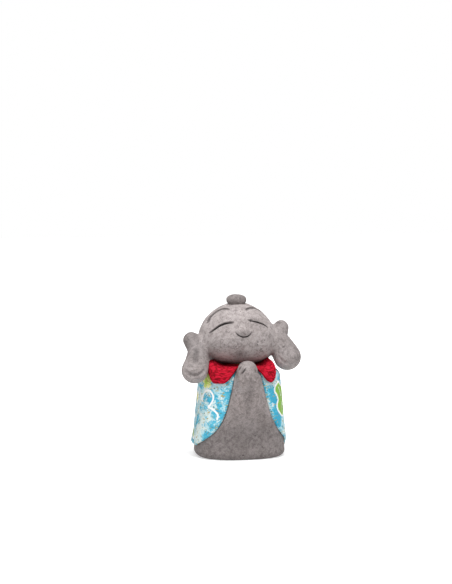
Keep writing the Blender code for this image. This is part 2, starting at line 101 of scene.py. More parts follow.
def unit(ways):
    return ways / lengths(ways)[:, None]


def spaced(stops, steps):
    """Values in even steps between each stop and the next."""
    parts = [np.linspace(*ends, count + 1)[1:] for *ends, count in zip(stops, stops[1:], steps)]
    return np.concatenate([stops[:1], *parts])


def arc(middle, radius, start, end, steps=arc_steps):
    angles = np.radians(np.linspace(start, end, steps + 1))
    return [(middle[0] + radius * math.cos(a), middle[1] + radius * math.sin(a)) for a in angles]


wall_lean = math.degrees(math.atan2(foot_half - shoulder_half, shoulder_top))


def round_middle(radius, height):
    reach = radius + height * math.sin(math.radians(wall_lean))
    return foot_half - reach / math.cos(math.radians(wall_lean)), height


shoulder_middle = round_middle(shoulder_round, shoulder_top - shoulder_round)
foot_middle = round_middle(foot_round, foot_round)
bell = np.array(
    [(0, shoulder_top)]
    + arc(shoulder_middle, shoulder_round, 90, wall_lean)
    + arc(foot_middle, foot_round, wall_lean, -90)
)
bell_runs = np.concatenate([[0], np.cumsum(np.hypot(*np.diff(bell, axis=0).T))])
hem_run = np.interp(-hem_height, -bell[1:, 1], bell_runs[1:])


def bell_line(run):
    """Half width and height of the bell, a length out from its axis and down its side."""
    return np.interp(run, bell_runs, bell[:, 0]), np.interp(run, bell_runs, bell[:, 1])


def drop_share(height):
    return np.clip((shoulder_top - height) / (shoulder_top - hem_height), 0, 1)


def opening(height):
    """Half the turn that the cloak leaves open in front, in degrees."""
    drop = drop_share(height)
    return opening_at_neck + opening_spread * drop + opening_sweep * drop**6.2


def panel_rise(turn, height):
    """How far the robe's front stands out, with a soft valley between the two sleeves."""
    across = np.clip(np.abs(turn - opening_lean) / (opening(height) - panel_margin), 0, 1)
    drop = drop_share(height)
    crest_light = np.clip(drop / 0.16, 0, 1)
    lift = panel_lift * np.sqrt(crest_light * (2 - crest_light)) * (1 - drop) ** 1.2
    valley = 0.34 * hill(across, 0.24)
    sleeve = ease(0.05, 0.15, drop) * (1 - ease(0.35, 0.65, drop))
    return lift * (1 - across**2) ** 1.2 * (1 - valley * sleeve)


def bell_point(turn, half, height, oval=None):
    """A place on the bell: round at the neck, shallower and squarer further out."""
    side, front = np.sin(np.radians(turn)), np.cos(np.radians(turn))
    outer = ease(boss_half, shoulder_middle[0], half) if oval is None else oval
    power = 2 + (plan_power - 2) * outer
    reach = half * (np.abs(side) ** power + np.abs(front) ** power) ** (-1 / power)
    depth = reach * (1 + (depth_share - 1) * outer) * front
    rise = panel_rise((turn + 180) % 360 - 180, height)
    return np.stack([reach * side, -depth - rise, height + 0 * reach], -1)


def cloth_point(turn, run, lift):
    """A place as far above the clay as lift, square to its surface."""
    half, height = bell_line(run)
    above, below = bell_line(run - 0.2), bell_line(run + 0.2)
    along = bell_point(turn + 0.5, half, height) - bell_point(turn - 0.5, half, height)
    up = bell_point(turn, *above) - bell_point(turn, *below)
    return bell_point(turn, half, height) + unit(np.cross(along, up)) * lift[:, None]


def bent_grid(columns, rows, place):
    """A sheet whose corners lie where place(column, row) says."""
    bm = bmesh.new()
    bmesh.ops.create_grid(bm, x_segments=columns, y_segments=rows, size=1.0)
    flat = np.array([vert.co for vert in bm.verts])
    column = np.rint((flat[:, 0] + 1) / 2 * columns).astype(int)
    row = np.rint((flat[:, 1] + 1) / 2 * rows).astype(int)
    move_to(bm, place(column, row))
    return bm, column, row


def places(bm):
    return np.array([vert.co for vert in bm.verts])


def move_to(bm, points):
    for vert, point in zip(bm.verts, points):
        vert.co = point


def lumps(points, size, seed=0.0):
    """Soft unevenness between -1 and 1, in lumps of about that size."""
    return np.array([noise.noise(Vector(p) / size + Vector((seed, seed, seed))) for p in points])


def vert_normals(bm):
    bm.normal_update()
    return np.array([vert.normal for vert in bm.verts])


# Rows of the whole lump, from the floor of the neck socket over the shoulders to the foot,
# then up into the hollow: half width, height, and how oval the row is
neck_rows = [(0.001, socket_floor), (1.7, socket_floor), (socket_half, socket_floor)]
neck_rows += [(socket_half, height) for height in (38, 41, 44, 47, 49.8)]
neck_rows += [(socket_half + 0.15, 50.15), (socket_half + 0.5, boss_top), (4.5, boss_top)]
neck_rows += arc((boss_half - boss_round, boss_top - boss_round), boss_round, 90, 0, 4)
neck_rows += [(boss_half, 48.8), (boss_half, 47.9), (boss_half + 0.15, 47.45)]
wall_start, wall_end = bell_runs[arc_steps + 1:arc_steps + 3]
bell_rows = spaced(
    (boss_half + 0.6, 10.0, 10.5, shoulder_middle[0], wall_start, wall_end, bell_runs[-1]),
    (5, 1, 13, 43, 91, 13),
)
under_rows = [(19.5, 0.0, 0.8), (17.5, 0.0, 0.5), (15.8, 0.0, 0.2), (14.1, 0.0, 0.0)]
under_rows += [(13.65, 0.2, 0.0), (hollow_half, 0.7, 0.0)]
under_rows += [(hollow_half, height, 0.0) for height in (3.0, 6.5, 10.0, 14.0)]
dome_middle = (hollow_half - hollow_round, hollow_top - hollow_round)
under_rows += [(*point, 0.0) for point in arc(dome_middle, hollow_round, 0, 90, 8)[1:]]
under_rows += [(3.2, hollow_top, 0.0), (0.001, hollow_top, 0.0)]
bell_halves, bell_heights = bell_line(bell_rows)
bell_ovals = ease(boss_half, shoulder_middle[0], bell_halves)
body_rows = np.array(
    [(*point, 0.0) for point in neck_rows]
    + list(zip(bell_halves, bell_heights, bell_ovals))
    + under_rows
)

# Columns: the panel in front, the step down beside it, and the plain back under the cloak
panel_inset, back_inset = 0.78, 0.39
step_insets = np.array([0.66, 0.54, 0.46])
step_lifts = np.array([0.93, 0.55, 0.15])
share = np.linspace(-1, 1, front_columns + 1)
back_share = np.linspace(0, 1, back_columns + 1)
column_inset = np.concatenate([
    panel_inset + 0 * share, step_insets, back_inset + 0 * back_share, step_insets[::-1], [panel_inset],
])
column_side = np.concatenate([share, [1, 1, 1], 1 - 2 * back_share, [-1, -1, -1], [-1]])
column_lift = np.concatenate([1 + 0 * share, step_lifts, 0 * back_share, step_lifts[::-1], [1]])
column_turn = np.concatenate([0 * share, [0, 0, 0], back_share, [1, 1, 1], [1]]) * 360


def body_place(column, row):
    half, height, oval = body_rows[row].T
    inset = np.degrees(column_inset[column] / np.maximum(half, boss_half))
    turn = opening_lean + column_side[column] * (opening(height) - inset) + column_turn[column]
    points = bell_point(turn, half, height, oval)
    step = column_lift[column] * cloak_outside * ease(cloak_neck, shoulder_middle[0], half)
    step *= (1 - ease(0.65, 0.9, drop_share(height))) * (height > hem_height)
    return points + unit(bell_point(turn, half + 0.1, height, oval) - points) * step[:, None]


body_bm, _, _ = bent_grid(len(column_inset) - 1, len(body_rows) - 1, body_place)
bmesh.ops.remove_doubles(body_bm, verts=body_bm.verts, dist=0.01)
bmesh.ops.recalc_face_normals(body_bm, faces=body_bm.faces)

hands_middle = np.array([0.3, -18.98, 45.0])
hands_half = np.array([5.9, 4.8, 9.0])
hands_power = 2.4
palm = np.array([0.3, -19.3, 42.0])
hand_join = 2.4
hand_smoothings = 6


def blunt_reach(start, ways, middle, half, power):
    """How far a blunt ball's surface lies along each way from a place inside it."""
    near, far = np.zeros(len(ways)), np.full(len(ways), 40.0)
    for _ in range(30):
        half_way = (near + far) / 2
        off = np.abs((start + ways * half_way[:, None] - middle) / half) ** power
        inside = off.sum(1) < 1
        near, far = np.where(inside, half_way, near), np.where(inside, far, half_way)
    return near


def push_out_hands(points):
    """The clay of the hands, luted on: it swells out of the robe with a soft join."""
    ways = points - palm
    reach = lengths(ways)
    ways /= reach[:, None]
    swell = blunt_reach(palm, ways, hands_middle, hands_half, hands_power)
    join = np.clip(hand_join - np.abs(swell - reach), 0, None) ** 2 / (4 * hand_join)
    return palm + ways * (np.maximum(reach, swell) + join)[:, None], swell - reach


def smooth(bm, verts):
    bmesh.ops.smooth_vert(bm, verts=verts, factor=0.5, use_axis_x=True, use_axis_y=True, use_axis_z=True)


body_points, swell = push_out_hands(places(body_bm))
move_to(body_bm, body_points)
near_hands = [vert for vert, out in zip(body_bm.verts, swell) if out > -1.5]
for _ in range(hand_smoothings):
    smooth(body_bm, near_hands)


def smooth_line(knots, steps=6):
    """Short straight pieces that bend smoothly through the knots."""
    knots = np.asarray(knots, float)
    ends = np.vstack([2 * knots[0] - knots[1], knots, 2 * knots[-1] - knots[-2]])
    share = np.arange(steps)[:, None] / steps
    pieces = []
    for before, start, end, after in zip(ends, ends[1:], ends[2:], ends[3:]):
        bend = (2 * before - 5 * start + 4 * end - after) * share**2
        swing = (3 * start - before - 3 * end + after) * share**3
        pieces.append((2 * start + (end - before) * share + bend + swing) / 2)
    return np.vstack([*pieces, knots[-1:]])


line_view = 5.0
far_away = 1e3


def beside_line(points, line, normals=None):
    """For each point near a line: its distance, how far along that is, and to which side."""
    gap, along, side = np.full(len(points), far_away), np.zeros(len(points)), np.zeros(len(points))
    close = ((points > line.min(0) - line_view) & (points < line.max(0) + line_view)).all(1)
    kept = np.flatnonzero(close)
    points = points[kept]
    for index, (start, end) in enumerate(zip(line, line[1:])):
        piece = end - start
        share = np.clip((points - start) @ piece / (piece @ piece), 0, 1)
        off = points - start - share[:, None] * piece
        distance = lengths(off)
        nearer = distance < gap[kept]
        gap[kept[nearer]] = distance[nearer]
        along[kept[nearer]] = ((index + share) / (len(line) - 1))[nearer]
        if normals is not None:
            across = np.cross(piece, normals[index])
            side[kept[nearer]] = (off @ across / np.linalg.norm(across))[nearer]
    return gap, along, side


def refine(bm, lines, reach):
    """Finer faces close to some lines, so that what is worked there comes out crisp."""
    points = places(bm)
    near = np.full(len(points), False)
    for line in lines:
        near |= beside_line(points, line)[0] < reach
    picked = [vert for vert, close in zip(bm.verts, near) if close]
    edges = list({edge for vert in picked for edge in vert.link_edges})
    bmesh.ops.subdivide_edges(bm, edges=edges, cuts=1, use_grid_fill=True)


def pit_lines(pits):
    """Each pit as a very short line, for finer faces round it."""
    return [np.array([place, np.add(place, (0, 0, 0.01))]) for place, _ in pits]


# Two strokes for the fingers of each hand, and the place and size of some pits in the fired clay
hand_strokes = [
    smooth_line([(-3.75, -21.3, 51.2), (-4.5, -20.9, 50.1), (-4.95, -20.5, 49.1)]),
    smooth_line([(-1.7, -23.0, 50.0), (-2.6, -23.0, 48.9), (-3.45, -22.8, 47.6)]),
    smooth_line([(3.65, -22.6, 49.6), (3.85, -22.7, 48.9), (3.95, -22.75, 48.2)]),
    smooth_line([(4.8, -20.3, 51.2), (5.1, -20.3, 50.6), (5.4, -20.3, 49.9)]),
]
body_pits = [
    ((-18.7, -14.2, 7.0), 0.45), ((-16.5, -15.8, 9.9), 0.4), ((-10.6, -18.5, 11.1), 0.4),
    ((4.4, -19.9, 13.3), 0.5), ((-2.2, -19.7, 2.8), 0.55), ((11.6, -18.5, 23.9), 0.35),
    ((-5.9, -19.5, 38.2), 0.4), ((1.0, -22.8, 34.1), 0.35), ((-1.0, -22.6, 31.2), 0.3),
    ((-13.9, -17.4, 5.3), 0.35), ((8.4, -18.9, 6.9), 0.4), ((16.5, -15.5, 4.5), 0.4),
]
stroke_widths, stroke_depths = (1.1, 1.2, 0.9, 0.9), (0.55, 0.6, 0.3, 0.3)
for reach in (1.6, 0.9):
    refine(body_bm, hand_strokes, reach)
for reach in (1.4, 0.9):
    refine(body_bm, pit_lines(body_pits), reach)


def press_pits(points, pits):
    """How deep small pits go at each point."""
    depth = np.zeros(len(points))
    for place, size in pits:
        depth = np.maximum(depth, 0.6 * size * dip(lengths(points - place), size))
    return depth


def pit_shade(depth):
    return np.clip(depth * 2.4, 0, 0.75)


body_points, normals = places(body_bm), vert_normals(body_bm)
# The finger strokes and the pits are painted dark, as shade in them
cut_shade = np.zeros(len(body_points))
depth = press_pits(body_points, body_pits)
for line, width, deep in zip(hand_strokes, stroke_widths, stroke_depths):
    gap, along, _ = beside_line(body_points, line)
    press = dip(gap, width / 2) * np.sin(math.pi * (0.15 + 0.7 * along))
    depth = np.maximum(depth, deep * press)
    cut_shade = np.maximum(cut_shade, press * deep / 0.7)
cut_shade = np.maximum(cut_shade, pit_shade(press_pits(body_points, body_pits)))
rough_hand = 0.16 * lumps(body_points, 9.0, 3.1) + 0.05 * lumps(body_points, 3.2, 7.7)
front_face = ease(0.2, 0.8, -normals[:, 1])
body_points += normals * (rough_hand * (0.35 + 0.65 * front_face) - depth)[:, None]
move_to(body_bm, body_points)

# Painted shade darkens the clay towards the foot and a little at the shoulders under the head; the two
# sleeves' ridges get a painted highlight, with painted shade in the valley between them
height = body_points[:, 2]
beside = np.abs(body_points[:, 0] - palm[0])
sleeve = ease(24, 32, height) * (1 - ease(44, 47, height)) * (body_points[:, 1] < 0)
painted_light_and_tone = 0.72 + 0.26 * ease(11, 33, height) - 0.02 * ease(46, 51, height)
painted_light_and_tone += sleeve * (0.2 * hill(beside - 5, 2) - 0.08 * hill(beside, 2.4))


def add_object(name, data):
    item = bpy.data.objects.new(name, data)
    bpy.context.scene.collection.objects.link(item)
    return item


def add_mesh(name, bm):
    mesh = bpy.data.meshes.new(name)
    bm.to_mesh(mesh)
    bm.free()
    return add_object(name, mesh)


def finish_piece(name, bm, material, body, nodes, masks=()):
    """The finished mesh in its place in metres, with its masks, riding on its body."""
    bmesh.ops.scale(bm, verts=bm.verts, vec=(0.001, 0.001, 0.001))
    bmesh.ops.translate(bm, verts=bm.verts, vec=body_axis / 1000)
    piece = add_mesh(name, bm)
    piece.data.shade_smooth()
    piece.data.materials.append(material)
    for mask, values in dict(masks).items():
        layer = piece.data.attributes.new(mask, "FLOAT", "POINT")
        layer.data.foreach_set("value", np.asarray(values, np.float32))
    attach(piece, body)
    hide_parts(*nodes)
    return piece


def colour(code):
    """A colour as written on a screen, made linear."""
    parts = [int(code[place:place + 2], 16) / 255 for place in (0, 2, 4)]
    return (*[c / 12.92 if c < 0.04045 else ((c + 0.055) / 1.055) ** 2.4 for c in parts], 1.0)


def feed(tree, node, pairs):
    """Links or sets each of the inputs that are given."""
    for key, value in pairs.items():
        if isinstance(value, bpy.types.NodeSocket):
            tree.links.new(value, node.inputs[key])
        else:
            node.inputs[key].default_value = value


def put(tree, kind, pairs=(), **settings):
    """Adds a node, with its settings and the inputs that are given."""
    node = tree.nodes.new("ShaderNode" + kind)
    for name, setting in settings.items():
        setattr(node, name, setting)
    feed(tree, node, dict(pairs))
    return node


def calc(tree, operation, *values, clamp=False):
    pairs = dict(enumerate(values))
    return put(tree, "Math", pairs, operation=operation, use_clamp=clamp).outputs[0]


def ramp(tree, value, low, high, start=0.0, end=1.0):
    """A value spread from one range to another, kept within it."""
    pairs = {"Value": value, "From Min": low, "From Max": high, "To Min": start, "To Max": end}
    return put(tree, "MapRange", pairs, clamp=True).outputs[0]


def blend_colour(tree, share, first, second, kind="MIX"):
    pairs = {0: share, 6: first, 7: second}
    return put(tree, "Mix", pairs, data_type="RGBA", blend_type=kind).outputs[2]


def layered(tree, under, *layers):
    """A colour with others laid over it in turn, each as far as its mask says."""
    for share, over in layers:
        under = blend_colour(tree, share, under, over)
    return under


def new_group(name, inputs, outputs):
    """A node group with named sockets, what it is given, and what it gives."""
    tree = bpy.data.node_groups.new(name, "ShaderNodeTree")
    for way, sockets in (("INPUT", inputs), ("OUTPUT", outputs)):
        for socket, kind in sockets.items():
            tree.interface.new_socket(socket, in_out=way, socket_type="NodeSocket" + kind)
    return tree, tree.nodes.new("NodeGroupInput").outputs, tree.nodes.new("NodeGroupOutput")


def new_material(name):
    """A material with its nodes and its shader."""
    material = bpy.data.materials.new(name)
    material.use_nodes = True
    return material, material.node_tree, material.node_tree.nodes["Principled BSDF"]


def bumped(tree, height, strength=1.0, depth=0.001):
    return put(tree, "Bump", {"Height": height, "Strength": strength, "Distance": depth}).outputs[0]


def cloudy(tree, place, scale, detail=2.0, rough=0.5, twist=0.0):
    pairs = {"Vector": place, "Scale": scale, "Detail": detail, "Roughness": rough, "Distortion": twist}
    return put(tree, "TexNoise", pairs).outputs[0]


def dots(tree, place, scale, radius, kept):
    """Scattered dots of uneven size, as a mask; kept is the share of cells that hold one."""
    cells = put(tree, "TexVoronoi", {"Vector": place, "Scale": scale})
    parts = put(tree, "SeparateColor", {0: cells.outputs["Color"]})
    size = calc(tree, "MULTIPLY_ADD", parts.outputs[1], 0.6 * radius * scale, 0.5 * radius * scale)
    inside = calc(tree, "SUBTRACT", 1.0, calc(tree, "DIVIDE", cells.outputs["Distance"], size))
    chosen = calc(tree, "LESS_THAN", parts.outputs[0], kept)
    return calc(tree, "MULTIPLY", calc(tree, "MULTIPLY", inside, 2.5, clamp=True), chosen)


clay_group, given, gives = new_group(
    "clay_skin",
    {"Place": "Vector", "Base": "Color", "Pale": "Color", "Dark": "Color", "Pores": "Float"},
    {"Color": "Color", "Roughness": "Float", "Height": "Float"},
)
tree, place, pores = clay_group, given["Place"], given["Pores"]
tone = cloudy(tree, place, 0.085, 3.0, 0.55)
mottle = cloudy(tree, place, 0.5, 5.0, 0.68, 0.4)
grain = cloudy(tree, place, 2.2, 3.0, 0.65)
dust = cloudy(tree, place, 1.1, 3.0, 0.7)
big_pores = dots(tree, place, 0.27, 0.42, pores)
small_pores = dots(tree, place, 0.7, 0.24, calc(tree, "ADD", pores, 0.12))
pores = calc(tree, "MAXIMUM", big_pores, calc(tree, "MULTIPLY", small_pores, 0.7))
# The pores are small pits, painted dark as shade in them
skin = layered(
    tree, given["Base"],
    (ramp(tree, tone, 0.38, 0.66, 0.0, 0.7), given["Pale"]),
    (ramp(tree, mottle, 0.44, 0.66, 0.0, 0.7), given["Dark"]),
    (ramp(tree, dust, 0.5, 0.72, 0.0, 0.6), given["Pale"]),
    (ramp(tree, grain, 0.34, 0.5, 0.42, 0.0), given["Dark"]),
    (calc(tree, "MULTIPLY", pores, 0.8), colour("3a3432")),
)
relief = calc(tree, "MULTIPLY_ADD", mottle, 0.3, calc(tree, "MULTIPLY", grain, 0.09))
relief = calc(tree, "MULTIPLY_ADD", pores, -0.2, relief)
feed(tree, gives, {"Color": skin, "Roughness": ramp(tree, mottle, 0.35, 0.7, 0.6, 0.82), "Height": relief})


def mask_of(tree, name):
    return put(tree, "Attribute", attribute_name=name).outputs["Fac"]


def clay_finish(name, base, pale, dark, pores):
    """Unglazed fired clay. One mask darkens what was cut deep as painted shade, and another scales its
    brightness, with painted light and shade as well as the clay's own tone.
    """
    material, tree, shader = new_material(name)
    place = put(tree, "TexCoord").outputs["Object"]
    place = put(tree, "VectorMath", {0: place, 3: 1000.0}, operation="SCALE").outputs[0]
    pairs = {"Base": colour(base), "Pale": colour(pale), "Dark": colour(dark), "Pores": pores}
    skin = put(tree, "Group", {"Place": place, **pairs}, node_tree=clay_group).outputs
    painted_light_and_tone = mask_of(tree, "painted_light_and_tone")
    painted_light_and_tone = put(tree, "CombineColor", {0: painted_light_and_tone, 1: painted_light_and_tone, 2: painted_light_and_tone}).outputs[0]
    tint = blend_colour(tree, 1.0, skin["Color"], painted_light_and_tone, "MULTIPLY")
    tint = blend_colour(tree, mask_of(tree, "cut_shade"), tint, colour("211b1a"))
    feed(tree, shader, {
        "Base Color": tint, "Roughness": skin["Roughness"], "Normal": bumped(tree, skin["Height"]),
        "Specular IOR Level": 0.35,
    })
    return material


body_clay = clay_finish("robe_clay", "8e8583", "ada4a3", "5e5654", 0.24)
masks = {"cut_shade": cut_shade, "painted_light_and_tone": painted_light_and_tone}
finish_piece("clay_body", body_bm, body_clay, "trunk", ["body", "praying_hands"], masks)


# The head with its ears
# A ball of the same clay, loose from the body and bored for the peg. Each ear is a roll
# of clay smeared on with the thumb; the face is worked in with a pointed tool.
seat_height = 50.6
head_middle = np.array([-1.0, 1.5, 66.7])
head_half = np.array([20.9, 18.5, 17.0])
head_turned = np.array(Euler((math.radians(-20), math.radians(4), 0)).to_matrix())
jowl_fullness = 0.45
jowl_spread = 0.16
head_socket_top = 61.6
ear_join = 3.2
ear_crease = 0.7
crease_ends = (52, 60)
thrown_half = 18.0
head_voxel = 0.43

# The knots of each ear's roll, from its top to its lobe: place and half thickness
left_ear = smooth_line([
    (-26.9, -1.5, 63.8, 4.5), (-24.0, -4.0, 58.4, 5.5), (-25.1, -8.5, 53.3, 6.4), (-27.3, -13.0, 48.9, 7.1),
], 4)
right_ear = smooth_line([
    (23.6, 0.5, 69.4, 4.2), (21.0, -2.0, 63.9, 5.5), (22.7, -5.0, 59.2, 6.7), (24.9, -8.5, 54.3, 7.4),
], 4)


def face_ways(angles):
    """Ways out of the head's middle, from turns and heights in degrees."""
    turn, height = np.radians(np.asarray(angles, float)).T
    return np.stack([np.cos(height) * np.sin(turn), -np.cos(height) * np.cos(turn), np.sin(height)], 1)


def ball_spread(ways):
    """How far the head's blunt ball reaches each way, before it is stretched."""
    power = 2 + jowl_fullness / (1 + np.exp(6 * ways[:, 2]))
    return (np.abs(ways) ** power[:, None]).sum(1) ** (-1 / power)


def face_points(angles):
    ways = face_ways(angles)
    ball = ways * ball_spread(ways)[:, None]
    local = ball * head_half
    local[:, 0] *= 1 - jowl_spread * ball[:, 2]
    return local @ head_turned.T + head_middle


def face_angles(points):
    """The turn and height at which each point is seen from the head's middle."""
    local = (points - head_middle) @ head_turned / head_half
    local[:, 0] /= 1 - jowl_spread * local[:, 2]
    ways = unit(local)
    turn = np.degrees(np.arctan2(ways[:, 0], -ways[:, 1]))
    return turn, np.degrees(np.arcsin(np.clip(ways[:, 2], -1, 1)))


def ball_form(points):
    """How far each point is outside the head's ball; less than nought is inside."""
    local = (points - head_middle) @ head_turned
    ball = local / head_half
    ball[:, 0] /= 1 - jowl_spread * ball[:, 2]
    return lengths(local) * (1 - ball_spread(unit(ball)) / lengths(ball))


def roll_form(points, roll):
    """How far each point is outside a roll of clay of changing thickness."""
    outside = np.full(len(points), far_away)
    for start, end in zip(roll, roll[1:]):
        piece = end[:3] - start[:3]
        share = np.clip((points - start[:3]) @ piece / (piece @ piece), 0, 1)
        off = lengths(points - start[:3] - share[:, None] * piece)
        outside = np.minimum(outside, off - (start[3] + (end[3] - start[3]) * share))
    return outside


def join_soft(first, second, reach):
    blend = np.clip(reach - np.abs(first - second), 0, None)
    return np.minimum(first, second) - blend**2 / (4 * reach)


def cut_soft(first, second, reach):
    return -join_soft(-first, -second, reach)


def head_form(points):
    form = ball_form(points)
    form = cut_soft(form, seat_height - points[:, 2], 1.0)
    bore = np.hypot(points[:, 0], points[:, 1]) - socket_half
    bore = np.maximum(bore, points[:, 2] - head_socket_top)
    form = cut_soft(form, -bore, 0.4)
    for roll in (left_ear, right_ear):
        near = np.flatnonzero(points[:, 0] * np.sign(roll[0, 0]) > 8)
        smeared = ear_crease + (ear_join - ear_crease) * ease(*crease_ends, points[near, 2])
        form[near] = join_soft(form[near], roll_form(points[near], roll), smeared)
    return form


corners = np.array([(1, -1, -1), (-1, -1, 1), (-1, 1, -1), (1, 1, 1)])


def settle(points, form, rounds=3, step=0.03):
    """Moves points onto the surface where a form is nought, and gives its way out there."""
    for _ in range(rounds):
        values = np.stack([form(points + corner * step) for corner in corners], 1)
        slope = values @ corners / (4 * step)
        size = (slope**2).sum(1)[:, None]
        points = points - np.clip(values.mean(1)[:, None] / size, -1, 1) * slope
    return points, slope / np.sqrt(size)


# Half of the head's outline, from the top of the bore round the flat seat and up to the crown
profile = [(0, head_socket_top), (socket_half, head_socket_top)]
profile += [(socket_half, seat_height), (8.0, seat_height)]
for angle in np.radians(np.linspace(-66, 90, 30)):
    profile.append((thrown_half * math.cos(angle), head_middle[2] + head_half[2] * math.sin(angle)))
bm = bmesh.new()
ring = [bm.verts.new((radius, 0, height)) for radius, height in profile]
ring[-1].co.x = 0
line_edges = [bm.edges.new(pair) for pair in zip(ring, ring[1:])]
bmesh.ops.spin(
    bm, geom=ring + line_edges, cent=(0, 0, 0), axis=(0, 0, 1), angle=math.tau, steps=60, use_merge=True
)
bmesh.ops.remove_doubles(bm, verts=bm.verts, dist=0.01)

# All but the bore and the seat goes out to the head's ball, and the ears' rolls are fused to it
thrown = places(bm)
outer = (np.hypot(thrown[:, 0], thrown[:, 1]) > 9) | (thrown[:, 2] > 75)
thrown[outer] = settle(thrown[outer], ball_form, 6)[0]
move_to(bm, thrown)
for knot in (*left_ear, *right_ear):
    bmesh.ops.create_icosphere(bm, subdivisions=3, radius=knot[3], matrix=Matrix.Translation(knot[:3]))
bmesh.ops.recalc_face_normals(bm, faces=bm.faces)
lump = add_mesh("lump", bm)
fuse = lump.modifiers.new("fuse", "REMESH")
fuse.mode = "VOXEL"
fuse.voxel_size = head_voxel
bpy.context.view_layer.update()
fused = bpy.data.meshes.new_from_object(lump.evaluated_get(bpy.context.evaluated_depsgraph_get()))
bpy.data.objects.remove(lump)
head_bm = bmesh.new()
head_bm.from_mesh(fused)
for _ in range(2):
    move_to(head_bm, settle(places(head_bm), head_form)[0])
    smooth(head_bm, head_bm.verts)


def face_line(*marks):
    """A line on the bare face, through marks given as turns and heights in degrees."""
    return smooth_line(face_points(marks))


left_brow = face_line((-64, 7), (-70, 21), (-63.5, 32), (-53.2, 39.6), (-37.2, 39.4), (-24, 33.5))
right_brow = face_line((2.3, 31.5), (14.7, 41), (36, 46), (52.4, 38), (60.2, 27))
left_eye = face_line((-52.1, -11.8), (-43.9, -6.1), (-35.5, -0.4), (-26.7, 2.8), (-17.5, 3.8))
right_eye = face_line((6.5, 9.4), (16.2, 7.7), (26.7, 5.8), (34.4, 3.8), (40.1, 0.4))
smile = face_line((-13.4, -13.6), (-8.6, -19.2), (-0.8, -21.8), (6.2, -19.0), (10.8, -12.0))

# The thumb's marks on the ears, and the pits of the head
left_trough = smooth_line([(-25.8, -10.2, 59.7), (-26.9, -13.4, 57.2), (-27.9, -17.4, 54.2)])
left_fold = smooth_line([(-24.6, -9.6, 59.4), (-24.3, -12.0, 57.4), (-23.6, -14.6, 54.6)])
right_fold = smooth_line([
    (19.2, -13.1, 54.9), (20.6, -14.2, 53.0), (22.6, -14.8, 51.7), (24.9, -15.2, 51.9),
])
left_crescent = smooth_line([
    (-32.7, -17.3, 48.8), (-31.0, -18.7, 47.6), (-28.5, -19.6, 47.1), (-26.0, -19.7, 47.6),
    (-23.7, -18.8, 49.1),
])
right_marks = [
    smooth_line([(21.0, -9.3, 63.9), (21.6, -10.3, 62.9), (22.7, -10.8, 62.6)]),
    smooth_line([(20.6, -11.2, 61.0), (21.5, -12.4, 60.0), (23.1, -12.8, 60.4)]),
]
head_pits = [
    ((-7.2, -17.0, 64.9), 0.4), ((10.6, -15.6, 64.4), 0.45), ((-5.4, -16.3, 61.4), 0.5),
    ((-4.8, -15.8, 60.2), 0.4), ((-13.7, -13.1, 59.0), 0.4), ((7.4, -12.3, 55.3), 0.45),
    ((8.5, -15.9, 61.7), 0.3), ((-10.5, -14.7, 72.3), 0.3), ((-4.1, -16.5, 72.0), 0.35),
    ((0.3, -15.3, 74.3), 0.35), ((-7.9, -10.0, 79.4), 0.35), ((-16.0, 12.0, 66.0), 0.4),
    ((9.0, 16.0, 62.0), 0.45), ((2.0, 17.5, 74.0), 0.4),
]
face_pits = face_points([
    (26, -43), (31, -39), (36, -42), (41, -37), (33, -46), (45, -41), (-30, -34), (-6, 27),
])
head_pits += list(zip(face_pits, (0.4, 0.5, 0.45, 0.5, 0.35, 0.4, 0.35, 0.4)))
head_pits = [(settle(np.array([place]), head_form)[0][0], size) for place, size in head_pits]
fine_lines = [left_brow, right_brow, left_eye, right_eye, smile, *pit_lines(head_pits)]
refine(head_bm, fine_lines + right_marks, 1.3)
refine(head_bm, fine_lines, 0.75)
points, ways_out = settle(places(head_bm), head_form)


def groove(points, line, width, deep, fade=0.1):
    """A pointed tool's line: deepest along its middle and fading at both ends."""
    gap, along, _ = beside_line(points, line)
    press = np.sqrt(np.sin(math.pi * (fade + (1 - 2 * fade) * along)))
    return deep * press * dip(gap, width / 2) ** 1.2


def brow(points, line, reach, deep, fade_start, fade_end):
    """A brow pressed with the tool's flat: steep above, and sloping out towards the eye."""
    normals = settle(line, head_form, 1)[1]
    gap, along, side = beside_line(points, line, normals)
    reach, deep = np.interp(along, *reach), np.interp(along, *deep)
    near = gap < reach + 0.5
    hollow = ease(-0.3, 0.25, side) * (1 - ease(0.1, 1, side / reach)) * near
    ends = ease(0, fade_start, along) * (1 - ease(1 - fade_end, 1, along))
    lip = 0.12 * hill(side + 0.7, 0.5) * (gap < 2)
    crease = dip(gap, 0.42)
    return (deep * hollow + 0.22 * crease - lip) * ends, crease * ends


def mound(points, middle, widths, rise, power=2.0):
    turn, height = face_angles(points)
    off = np.hypot((turn - middle[0]) / widths[0], (height - middle[1]) / widths[1])
    return rise * np.exp(-(off**power))


nose = mound(points, (-1.0, -11.8), (9.6, 7.6), 1.7, 3.2) + mound(points, (-2, 16), (9, 24), 0.55)
lids = mound(points, (-37, 9), (19, 7), 0.8) + mound(points, (27, 16), (20, 7), 0.7)
chin = mound(points, (-1, -50), (9, 15), 1.1) + mound(points, (-1, -62), (16, 12), 0.5)
left_spread = ((0, 0.2, 0.5, 1), (3.4, 3.4, 2.8, 2.0))
left_depth = ((0, 0.2, 0.5, 1), (1.2, 1.2, 0.8, 0.5))
left_hollow, left_crease = brow(points, left_brow, left_spread, left_depth, 0.06, 0.12)
right_spread = ((0, 0.3, 1), (2.0, 2.6, 1.8))
right_depth = ((0, 0.3, 1), (0.6, 0.8, 0.4))
right_hollow, right_crease = brow(points, right_brow, right_spread, right_depth, 0.12, 0.35)
eye_cuts = np.maximum(groove(points, left_eye, 1.4, 0.9, 0.05), groove(points, right_eye, 1.05, 0.8, 0.08))
